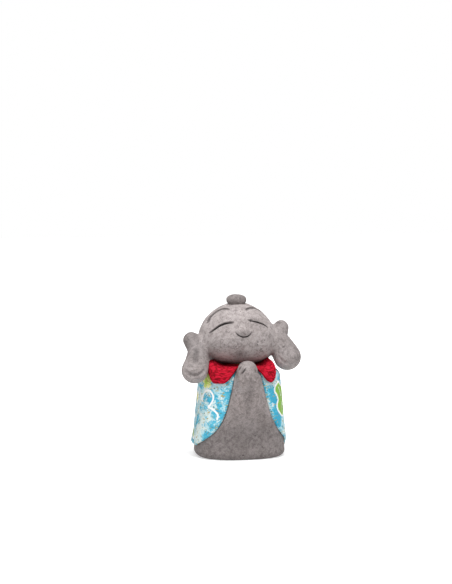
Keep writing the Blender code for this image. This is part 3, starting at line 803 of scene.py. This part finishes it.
eye_cuts = np.maximum(eye_cuts, 0.6 * dip(lengths(points - right_eye[2]), 1.0))
smile_cut = groove(points, smile, 0.95, 0.65, 0.04)
pits = press_pits(points, head_pits)
trough = groove(points, left_trough, 4.6, 1.1, 0.12)
crescent = groove(points, left_crescent, 2.6, 0.95)
ear_marks = trough + crescent + groove(points, left_fold, 1.6, 0.35)
for mark in right_marks:
    ear_marks += groove(points, mark, 1.7, 0.6, 0.15)
ear_marks += groove(points, right_fold, 2.2, 0.5)
rim = 0.45 * hill(beside_line(points - (0, 0.6, -2.1), left_crescent)[0], 1.3)
upper_lip = 0.22 * hill(beside_line(points, left_eye)[0], 1.3) * (eye_cuts < 0.01)
unevenness = 0.2 * lumps(points, 8.0, 1.7) + 0.06 * lumps(points, 2.8, 5.2)
raise_by = nose + lids + upper_lip + unevenness + rim
raise_by -= chin + left_hollow + right_hollow + eye_cuts + smile_cut + pits + ear_marks
at_seat = 1 - ease(seat_height + 0.2, seat_height + 1.5, points[:, 2])
at_seat *= 1 - ease(0.5, 2, ball_form(points))
in_bore = (np.hypot(points[:, 0], points[:, 1]) < 4.5) & (points[:, 2] < head_socket_top + 1)
raise_by[in_bore] = 0
raise_by *= 1 - at_seat
move_to(head_bm, points + ways_out * raise_by[:, None])

# Painted shade darkens the cuts, the brow creases, the pits, the brow hollows, the thumb marks on the left
# ear, the throat above the hands and the lower right cheek. Painted highlights lighten the forehead and the
# rim under the left lobe's crescent. The ears are darker, most towards their tops and on the left one low
# down, and the chin is lighter.
cut_shade = np.clip(eye_cuts / 0.62, 0, 1) + np.clip(smile_cut / 0.6, 0, 1) + 0.45 * (left_crease + right_crease)
cut_shade += pit_shade(pits)
on_ear = ease(0, 2, ball_form(points))
painted_light_and_tone = 1 - on_ear * (0.04 + 0.24 * ease(49, 60, points[:, 2])) - 0.25 * np.clip(trough + crescent, 0, 1)
painted_light_and_tone -= 0.34 * left_hollow.clip(0) + 0.26 * right_hollow.clip(0)
painted_light_and_tone -= mound(points, (0, -56), (12, 9), 0.3) + mound(points, (36, -18), (16, 14), 0.09)
painted_light_and_tone += mound(points, (0, -42), (18, 9), 0.14)
painted_light_and_tone -= 0.07 * on_ear * (points[:, 0] < 0) * ease(50, 56, points[:, 2])
painted_light_and_tone += mound(points, (-2, 20), (12, 20), 0.07) + 0.16 * rim
head_clay = clay_finish("face_clay", "9f9694", "bdb4b3", "6c6463", 0.28)
masks = {"cut_shade": np.clip(cut_shade, 0, 0.95), "painted_light_and_tone": painted_light_and_tone}
finish_piece("clay_head", head_bm, head_clay, "face", ["head", "left_ear", "right_ear"], masks)


# The topknot
# A small ball of clay pressed flat on the crown with one finger.
knot_middle = np.array([-1.8, -0.4, 85.2])
knot_half = np.array([5.4, 5.4, 3.1])
knot_blunt = 2.35
knot_worn = 0.74
bm = bmesh.new()
bmesh.ops.create_uvsphere(bm, u_segments=72, v_segments=44, radius=1.0)
ways = unit(places(bm))
blunt = (np.abs(ways) ** knot_blunt).sum(1) ** (-1 / knot_blunt)
points = knot_middle + ways * blunt[:, None] * knot_half
points += ways * (0.16 * lumps(points, 4.0, 9.3) + 0.05 * lumps(points, 1.5, 2.2))[:, None]
move_to(bm, points)
knot_clay = clay_finish("topknot_clay", "8f8684", "aaa19f", "5a5250", 0.4)
masks = {"painted_light_and_tone": np.full(len(points), knot_worn)}
finish_piece("clay_topknot", bm, knot_clay, "face", ["topknot"], masks)


# The neck peg
# A short turned softwood dowel, chamfered at both ends. It stands in the body's socket and
# enters the head's, so that the head can turn and be lifted off.
peg_half = 3.0
peg_bottom = 36.3
peg_top = 60.6
peg_chamfer = 0.7
bm = bmesh.new()
bmesh.ops.create_cone(
    bm, cap_ends=True, segments=56, radius1=peg_half, radius2=peg_half, depth=peg_top - peg_bottom
)
bmesh.ops.translate(bm, verts=bm.verts, vec=(0, 0, (peg_top + peg_bottom) / 2))
rims = [edge for edge in bm.edges if all(len(vert.link_faces) == 3 for vert in edge.verts)
        and abs(edge.verts[0].co.z - edge.verts[1].co.z) < 0.001]
bmesh.ops.bevel(
    bm, geom=rims, offset=peg_chamfer, offset_type="OFFSET", segments=2, profile=0.5, affect="EDGES",
    material=-1,
)
peg_wood, tree, shader = new_material("peg_softwood")
place = put(tree, "TexCoord").outputs["Object"]
place = put(tree, "VectorMath", {0: place, 1: (1000, 1000, 90)}, operation="MULTIPLY").outputs[0]
rings = cloudy(tree, place, 1.1, 3.0, 0.5, 1.2)
fibre = cloudy(tree, place, 5.0, 2.0, 0.6)
wood = layered(
    tree, colour("c9a878"),
    (ramp(tree, rings, 0.42, 0.6), colour("a8814f")),
    (ramp(tree, fibre, 0.5, 0.75, 0.0, 0.4), colour("7d5a33")),
)
feed(tree, shader, {
    "Base Color": wood, "Roughness": ramp(tree, fibre, 0.3, 0.7, 0.55, 0.75),
    "Normal": bumped(tree, fibre, 0.5, 0.0001),
})
peg = finish_piece("wood_peg", bm, peg_wood, "peg", ["neck_dowel"])
peg.data.set_sharp_from_angle(angle=math.radians(35))


# The cloak
# One piece of printed crepe, laid round the bell with its front edges along the robe's panel:
# pale and sky blue with white clouds, gold flecks, and leaves and tendrils outlined in white.
cloak_columns = 250
cloak_lines = 128
cloak_runs = np.linspace(cloak_neck, hem_run, cloak_lines + 1)
hem_sag = 1.8
hem_sag_turn = 84.0
hem_sag_spread = 22.0
turn_scale = 0.4
flat_unit = 200.0


def cloak_turn(column, height):
    share = column / cloak_columns
    return opening_lean + (1 - 2 * share) * opening(height) + 360 * share


def cloak_run(column, row):
    """How far each place lies down the bell; the hem hangs lower at the right front corner."""
    turn = cloak_turn(column, hem_height)
    sag = hem_sag * hill(turn - hem_sag_turn, hem_sag_spread)
    return cloak_runs[row] + sag * (row / cloak_lines) ** 3


def cloak_place(column, row):
    run = cloak_run(column, row)
    height = bell_line(run)[1]
    turn = cloak_turn(column, height)
    flat = np.stack([turn * turn_scale, run, 0 * run], 1)
    loose = ease(0, 14, np.minimum(column, cloak_columns - column))
    wave = 0.5 + 0.5 * lumps(flat, 9.0, 4.4)
    hem = ease(0.75, 1.0, drop_share(height)) * (0.7 + 0.35 * lumps(flat * (1, 0, 1), 6.0, 8.1))
    hem *= 0.15 + 0.85 * ease(0, 30, np.minimum(column, cloak_columns - column))
    return cloth_point(turn, run, cloth_gap + 0.25 * wave * loose + hem)


cloak_bm, column, row = bent_grid(cloak_columns, cloak_lines, cloak_place)
bmesh.ops.reverse_faces(cloak_bm, faces=cloak_bm.faces)
run = cloak_run(column, row)
cloth_flat = np.stack([cloak_turn(column, bell_line(run)[1]) * turn_scale, run], 1)


def lay_flat(bm, flat):
    """A UV map of where each place lies on the flat cloth, one unit being 200 mm."""
    layer = bm.loops.layers.uv.new("cloth")
    bm.verts.index_update()
    for face in bm.faces:
        for loop in face.loops:
            loop[layer].uv = flat[loop.vert.index] / flat_unit


lay_flat(cloak_bm, cloth_flat)


def on_cloth(marks):
    """Places on the flat cloth, from turns and heights on the dressed body."""
    turn, height = np.asarray(marks, float).T
    run = np.interp(-height, -bell[1:, 1], bell_runs[1:])
    return np.stack([np.where(turn < 0, turn + 360, turn) * turn_scale, run], 1)


# The print's lines: a tendril, the big leaf with its veins, and the shapes that are repeated
tendril = on_cloth([
    (-82, 37.5), (-74, 34.5), (-66, 31.4), (-65.5, 34), (-60.5, 36.6), (-52.5, 37.4), (-48.6, 36.4),
    (-45.6, 34.4), (-46, 32.2), (-49.6, 29.8), (-52.4, 28.4), (-46.4, 27.8), (-41, 26.2), (-37.8, 24.6),
    (-38.4, 22.4),
])
leaf_moved = np.array((-5 * turn_scale, 0.9))
leaf = leaf_moved + on_cloth([
    (53, 40.8), (59, 42), (67, 39.6), (76, 39), (79, 35), (74, 32.6), (78, 28.5), (72, 25.6), (63, 23),
    (56, 25), (51.5, 27.4), (51, 30), (54, 32.4), (52, 35), (48, 37.2), (49.4, 39.6), (53, 40.8),
])
veins = [
    leaf_moved + on_cloth(marks) for marks in (
        [(57, 39.5), (62, 36), (64, 32), (64, 28), (62, 25)], [(63, 34), (70, 36.5)], [(64, 30), (71, 28.5)],
    )
]
petals = np.radians(np.arange(0, 361, 6))
petal_swell = np.abs(np.sin(2.5 * petals))
blossom = 4.4 * (0.6 + 0.4 * petal_swell**0.5 - 0.14 * np.clip((petal_swell - 0.93) / 0.07, 0, 1))
blossom = np.stack([blossom * np.cos(petals), blossom * np.sin(petals)], 1)
blade = np.linspace(0, 1, 14)
upper_edge = np.stack([9.5 * blade, 2.3 * np.sin(math.pi * blade**0.8)], 1)
lower_edge = np.stack([9.5 * blade, -2.0 * np.sin(math.pi * blade**0.7)], 1)
blade = np.concatenate([upper_edge, lower_edge[-2::-1]])
blade_vein = np.array([(0.8, 0.0), (3.0, 0.2), (6.0, 0.1), (8.4, -0.2)])
cloud_line = np.linspace(0, 4, 49)
puffs = 2.3 * np.abs(np.sin(math.pi * cloud_line)) ** 0.6
cloud = np.stack([3.6 * cloud_line, puffs + np.sin(1.3 * cloud_line)], 1)


def turned(shape, angle, scale, place):
    """A copy of a drawn shape, turned and moved about its middle."""
    angle = math.radians(angle)
    spin = np.array([[math.cos(angle), -math.sin(angle)], [math.sin(angle), math.cos(angle)]])
    return (shape - shape.mean(0)) @ spin.T * scale + np.asarray(place)


# For each repeated shape: its turn in degrees, its scale, and its middle on the flat cloth
cloud_places = (
    (12, 0.9, (96, 27)), (-20, 0.8, (80, 52)), (8, 1.0, (62, 29)), (170, 0.8, (44, 50)),
    (-8, 0.9, (38, 26)), (20, 0.7, (104, 44)),
)
blade_places = (
    (35, 0.95, (107, 54)), (70, 0.8, (101, 55)), (-30, 1.0, (86, 38)), (10, 0.9, (87, 34)),
    (150, 1.0, (70, 48)), (115, 0.85, (72, 53)), (-70, 0.9, (52, 37)), (-35, 1.0, (48, 40)),
    (60, 0.8, (33, 47)),
)
blossom_places = (
    (10, 0.95, (120.6, 24.4)), (40, 0.95, (94, 48)), (5, 1.1, (76, 40)), (25, 0.9, (58, 56)),
    (50, 1.0, (60, 41)), (0, 0.95, (36, 37)), (70, 0.8, (108, 34)),
)
white_lines = [smooth_line(tendril)] + [turned(cloud, *how) for how in cloud_places]
leaves = [smooth_line(leaf)] + [turned(blade, *how) for how in blade_places]
veins += [turned(blade_vein, *how) for how in blade_places]
blossoms = [turned(blossom, *how) for how in blossom_places]


def inside(points, outline):
    """Which points a closed outline holds."""
    held = np.full(len(points), False)
    x, y = points.T
    for (ax, ay), (bx, by) in zip(outline, np.roll(outline, -1, 0)):
        crosses = (ay > y) != (by > y)
        at = ax + (y - ay) / (by - ay + 1e-12) * (bx - ax)
        held ^= crosses & (x < at)
    return held


def print_masks(points):
    """Distance from the nearest white outline, and depth within a lime leaf or a blossom."""
    outline, lime, petal = (np.full(len(points), value) for value in (9.0, -9.0, -9.0))
    for line in white_lines:
        outline = np.minimum(outline, beside_line(points, line)[0])
    for shapes, mask in ((leaves, lime), (blossoms, petal)):
        for index, shape in enumerate(shapes):
            edge = beside_line(points, shape)[0]
            held = inside(points, shape)
            mask[:] = np.maximum(mask, np.where(held, edge, -edge))
            outline = np.where(held, 9.0, outline)
            if index or mask is lime:
                outline = np.minimum(outline, edge)
    for vein in veins:
        outline = np.minimum(outline, beside_line(points, vein)[0] + 0.3)
    return outline, lime, petal


cloak_outline, cloak_lime, cloak_petal = print_masks(cloth_flat)

# Where the print is deeper blue or paler, as turns and heights on the dressed body
blue_pools = on_cloth([
    (-57, 34), (-27, 37), (-37, 28), (-33, 25), (-74, 20), (-86, 12), (-54, 15.5), (38, 34), (42, 30.6),
    (56, 24.7), (68, 16.3), (45, 26), (52, 19), (38, 38), (49, 28.5), (43, 22.5), (47, 33), (48, 30),
    (52, 24),
])
pale_pools = on_cloth([
    (-31, 44), (-72, 32), (-66, 13), (-70, 17), (-84, 22), (-86, 34), (-64, 20.5), (-71, 24.7), (-46, 23),
    (-75, 12), (33, 41.5), (44, 40.5), (62, 21),
])
pool_size = 2.6
pool = np.zeros(len(cloth_flat))
for spots, way in ((blue_pools, 1), (pale_pools, -1)):
    for spot in spots:
        pool += way * hill(lengths(cloth_flat - spot), pool_size)

crepe_group, given, gives = new_group(
    "crepe_weave", {"Place": "Vector", "Crinkle": "Float"}, {"Height": "Float", "Shade": "Float"}
)
tree, place = crepe_group, given["Place"]
bumps = cloudy(tree, place, 1.25, 2.0, 0.5, 0.5)
ridge = calc(tree, "ABSOLUTE", calc(tree, "MULTIPLY_ADD", bumps, 2.0, -1.0))
ridge = ramp(tree, ridge, 0.0, 0.4, 1.0, 0.0)
threads = cloudy(tree, place, 4.5, 1.0, 0.5)
relief = calc(tree, "MULTIPLY_ADD", threads, 0.4, ridge)
feed(tree, gives, {"Height": calc(tree, "MULTIPLY", relief, given["Crinkle"]), "Shade": ridge})


def new_crepe(name, crinkle):
    """A crepe's material, with its weave's shade and its places on the flat cloth, in millimetres."""
    material, tree, shader = new_material(name)
    flat = put(tree, "UVMap", uv_map="cloth").outputs[0]
    place = put(tree, "VectorMath", {0: flat, 3: flat_unit}, operation="SCALE").outputs[0]
    weave = put(tree, "Group", {"Place": place, "Crinkle": crinkle}, node_tree=crepe_group).outputs
    feed(tree, shader, {"Normal": bumped(tree, weave["Height"])})
    return material, tree, shader, weave["Shade"], place


cloak_crepe, tree, shader, shade, place = new_crepe("printed_crepe", 0.09)
aside = put(tree, "VectorMath", {0: place, 1: (40, 17, 3)}).outputs[0]
speck = cloudy(tree, place, 1.2, 3.0, 0.7)
patches = calc(tree, "MULTIPLY_ADD", speck, 0.5, cloudy(tree, place, 0.17, 3.0, 0.6, 0.8))
pooled = mask_of(tree, "pool")
patches = calc(tree, "MULTIPLY_ADD", pooled, 0.13, patches)
mist = calc(tree, "MULTIPLY_ADD", speck, -0.4, cloudy(tree, aside, 0.2, 3.0, 0.6, 0.6))
mist = calc(tree, "MULTIPLY_ADD", pooled, -0.07, mist)
petal_tone = blend_colour(tree, ramp(tree, patches, 0.76, 0.88), colour("f5f2a8"), colour("bfdf5e"))
lime_depth = calc(tree, "MULTIPLY_ADD", speck, 1.2, mask_of(tree, "lime"))
lime_tone = blend_colour(tree, ramp(tree, lime_depth, 0.9, 1.9), colour("b5d766"), colour("86bb3f"))
fleck_place = put(tree, "VectorMath", {0: place, 1: (0.55, 1.2, 1.0)}, operation="MULTIPLY").outputs[0]
flecks = cloudy(tree, fleck_place, 0.7, 2.0, 0.6)
outline = calc(tree, "MULTIPLY_ADD", speck, 0.5, mask_of(tree, "outline"))
print_colour = layered(
    tree, colour("bfe2e8"),
    (ramp(tree, patches, 0.71, 0.79), colour("58bdd9")),
    (ramp(tree, patches, 0.84, 0.9, 0.0, 0.8), colour("2fa3c8")),
    (ramp(tree, mist, 0.33, 0.4, 0.0, 0.85), colour("e9f2ec")),
    (ramp(tree, mask_of(tree, "petal"), -0.1, 0.15), petal_tone),
    (ramp(tree, mask_of(tree, "lime"), -0.1, 0.1), lime_tone),
    (ramp(tree, flecks, 0.6, 0.645, 0.0, 0.9), colour("b0a35a")),
    (dots(tree, place, 0.5, 0.5, 0.34), colour("5f7a66")),
    (ramp(tree, outline, 0.68, 0.84, 1.0, 0.0), colour("fdfdfb")),
    (ramp(tree, shade, 0.0, 1.0, 0.16, 0.0), colour("2c6f86")),
)
feed(tree, shader, {
    "Base Color": print_colour, "Roughness": 0.85, "Sheen Weight": 0.12, "Specular IOR Level": 0.25,
})

masks = {"outline": cloak_outline, "lime": cloak_lime, "petal": cloak_petal, "pool": pool}
cloak = finish_piece("crepe_cloak", cloak_bm, cloak_crepe, "trunk", ["cloak"], masks)


def thicken(piece, thick, edge_share, weights, outward):
    """Gives a sheet its thickness, thinner along its turned-in edges."""
    group = piece.vertex_groups.new(name="full_cloth")
    for level in np.unique(weights):
        group.add([int(index) for index in np.flatnonzero(weights == level)], float(level), "REPLACE")
    shell = piece.modifiers.new("thickness", "SOLIDIFY")
    shell.thickness = thick / 1000
    shell.offset = 1 if outward else -1
    shell.vertex_group = "full_cloth"
    shell.thickness_vertex_group = edge_share


from_side = np.minimum(column, cloak_columns - column)
from_end = np.minimum(cloak_lines - row, 9)
thicken(cloak, cloak_thick, 0.3, np.round(ease(0, 2.5, np.minimum(from_side, from_end)), 2), True)


# The bib
# A ring of red crepe that lies round the neck over the cloak, with two rounded corners in
# front. The crepe's crinkles run round it in uneven rows.
bib_thick = 1.1
bib_lift = cloak_outside + 0.5
bib_neck = 6.6
bib_band = 8.0
bib_long = 18.4
bib_side = (17.3, 15.2)
bib_corner = (15.3, 13.3)
bib_puff = (3.1, 4.3)
bib_fold = (3.2, 4.0)
bib_edge_share = 0.45
crinkle_rise = 0.075
crinkle_ring = 17.8
bib_lines = 108


def bib_length(turn):
    """How far the bib reaches out from its neck edge."""
    edge = opening_at_neck + np.sign(turn) * opening_lean
    across = np.where(turn < 0, *bib_side)
    side_turn = np.degrees(np.arcsin(np.where(turn < 0, *bib_corner) / shoulder_half))
    start, full = edge - 16, np.minimum(edge + 18, side_turn - 5)
    fall, out = side_turn - 5, side_turn + 3
    turn = np.abs(turn)
    side = across / np.sin(np.radians(np.clip(turn, 1, 90))) - bib_neck
    beside = ease(np.minimum(full, fall - 1), fall, turn) * (1 - ease(95, 130, turn))
    plain = bib_band + (side - bib_band) * beside
    corner = ease(start, full, turn) * (1 - ease(fall, out, turn))
    return plain + (bib_long - plain) * corner


bib_turns = spaced((-180, -75, -35, 0, 35, 75, 180), (59, 89, 29, 29, 89, 59))
bib_columns = len(bib_turns) - 1


def crinkle_rows(turn, run):
    """The crinkles: uneven flat bumps in rows round the neck, with thin creases between."""
    turn = np.radians(turn)
    spots = np.stack([crinkle_ring * np.sin(turn), run, crinkle_ring * np.cos(turn)], 1)
    bumps = lumps(spots * (0.5, 1.35, 0.5), 1.0, 3.3) + 0.25 * lumps(spots * (0.8, 2.3, 0.8), 1.0, 5.1)
    return 2 * ease(-0.03, 0.3, np.abs(bumps)) - 1


def close_ring(bm, column, row, columns):
    """Joins the last column of a bent grid to the first."""
    verts = list(bm.verts)
    first = {at: vert for vert, across, at in zip(verts, column, row) if across == 0}
    last = {vert: first[at] for vert, across, at in zip(verts, column, row) if across == columns}
    bmesh.ops.weld_verts(bm, targetmap=last)
    kept = column < columns
    return column[kept], row[kept]


def bib_flat(column, row):
    """Where each place lies on the flat cut, a ring with two corners."""
    turn = bib_turns[column]
    run = bib_neck + bib_length(turn) * row / bib_lines
    return np.stack([run * np.sin(np.radians(turn)), -run * np.cos(np.radians(turn)), 0 * run], 1)


def bib_place(column, row):
    flat = bib_flat(column, row)
    turn, run = bib_turns[column], lengths(flat)
    ragged = 0.12 * lumps(flat, 1.1, 2.7) * ease(0.9, 1.0, row / bib_lines)
    collar = 0.85 * (1 - ease(bib_neck, bib_neck + 3.2, run))
    wave = 0.12 * (0.5 + 0.5 * lumps(flat, 5.0, 7.4)) * ease(bib_neck, bib_neck + 3, run)
    beside = ease(30, 66, np.abs(turn)) * (1 - ease(95, 125, np.abs(turn)))
    fold = (row / bib_lines) ** np.where(turn < 0, *bib_fold)
    puff = np.where(turn < 0, *bib_puff) * beside * np.sin(math.pi * fold)
    edge = ease(0, 4, np.minimum(row, bib_lines - row))
    outside = bib_thick * (bib_edge_share + (1 - bib_edge_share) * edge)
    relief = crinkle_rise * crinkle_rows(turn, run) * ease(bib_neck, bib_neck + 2, run)
    return cloth_point(turn, run + ragged, bib_lift + collar + wave + puff + outside + relief)


bib_bm, column, row = bent_grid(bib_columns, bib_lines, bib_place)
column, row = close_ring(bib_bm, column, row, bib_columns)
flat = bib_flat(column, row)
run = lengths(flat)
# Painted light and shade on the crinkles: their crests lighter and their creases darker, and all of it
# darker close to the neck as painted shade under the head
crinkle_light_and_shade = np.clip(0.5 + 0.5 * crinkle_rows(bib_turns[column], run), 0, 1)
crinkle_light_and_shade *= 0.35 + 0.65 * ease(bib_neck + 3, bib_neck + 9, run)
bmesh.ops.reverse_faces(bib_bm, faces=bib_bm.faces)
lay_flat(bib_bm, flat[:, :2] + 40)
bib_crepe, tree, shader, shade, _ = new_crepe("red_crepe", 0.1)
crest_light = mask_of(tree, "crinkle_light_and_shade")
# The crests get painted highlights and the creases painted shade
red = layered(
    tree, colour("70030f"),
    (ramp(tree, crest_light, 0.1, 0.75), colour("b60b25")),
    (ramp(tree, crest_light, 0.8, 1.0, 0.0, 0.6), colour("d21c3a")),
    (ramp(tree, shade, 0.0, 1.0, 0.3, 0.0), colour("5a020b")),
)
feed(tree, shader, {"Base Color": red, "Roughness": 0.8, "Specular IOR Level": 0.12})
bib = finish_piece("crepe_bib", bib_bm, bib_crepe, "trunk", ["bib"], {"crinkle_light_and_shade": crinkle_light_and_shade})
edge = np.round(ease(0, 4, np.minimum(row, bib_lines - row)), 2)
thicken(bib, bib_thick, bib_edge_share, edge, False)


# The table and the light
# A plain white ground, with soft light from above and in front, as in a small photo tent.
bm = bmesh.new()
bmesh.ops.create_grid(bm, x_segments=2, y_segments=2, size=1.5)
bmesh.ops.translate(bm, verts=bm.verts, vec=(0, 0.6, -0.0002))
ground = add_mesh("ground", bm)
white, tree, shader = new_material("white_ground")
feed(tree, shader, {"Base Color": (0.72, 0.72, 0.72, 1), "Roughness": 0.9, "Specular IOR Level": 0.0})
place = put(tree, "TexCoord").outputs["Object"]
away = put(tree, "VectorMath", {0: place}, operation="LENGTH").outputs["Value"]
seen = put(tree, "LightPath").outputs["Is Camera Ray"]
bright = calc(tree, "MULTIPLY", seen, ramp(tree, away, 0.03, 0.2, 0.55, 1.0))
glow = put(tree, "Emission", {"Color": (1, 1, 1, 1), "Strength": bright}).outputs[0]
lit = put(tree, "AddShader", {0: shader.outputs[0], 1: glow}).outputs[0]
feed(tree, tree.nodes["Material Output"], {"Surface": lit})
ground.data.materials.append(white)

world = bpy.data.worlds.new("tent")
bpy.context.scene.world = world
world.use_nodes = True
tree = world.node_tree
rays = put(tree, "LightPath").outputs
direct = calc(tree, "MAXIMUM", rays["Is Glossy Ray"], rays["Is Transmission Ray"])
direct = calc(tree, "MAXIMUM", rays["Is Camera Ray"], direct)
strength = ramp(tree, direct, 0.0, 1.0, 0.25, 1.0)
feed(tree, tree.nodes["Background"], {"Color": (1, 1, 1, 1), "Strength": strength})


def add_light(name, place, target, size, power):
    lamp = bpy.data.lights.new(name, "AREA")
    lamp.shape = "DISK"
    lamp.size = size
    lamp.energy = power
    item = add_object(name, lamp)
    item.location = place
    item.rotation_euler = (Vector(place) - Vector(target)).to_track_quat("Z", "Y").to_euler()


add_light("tent_top", (-0.03, -0.24, 0.66), (0, 0, 0.05), 0.3, 4.6)
add_light("tent_left", (-0.6, -0.34, 0.2), (0, 0, 0.04), 0.4, 1.15)
add_light("tent_back", (0.1, 0.6, 0.45), (0, 0, 0.04), 0.4, 1.0)
add_light("tent_right", (0.58, -0.36, 0.2), (0, 0, 0.04), 0.4, 1.05)

bpy.context.scene.view_settings.view_transform = "Standard"
camera_lens = bpy.data.cameras.new("camera")
camera_lens.lens = 110
camera_lens.sensor_width = 36
camera_lens.clip_start = 0.05
camera = add_object("camera", camera_lens)
azimuth, elevation = math.radians(-12), math.radians(5)
level = math.cos(elevation)
back = Vector((math.sin(azimuth) * level, -math.cos(azimuth) * level, math.sin(elevation)))
camera.location = (-0.20735, -0.94464, 0.17415)
camera.rotation_euler = back.to_track_quat("Z", "Y").to_euler()
bpy.context.scene.camera = camera
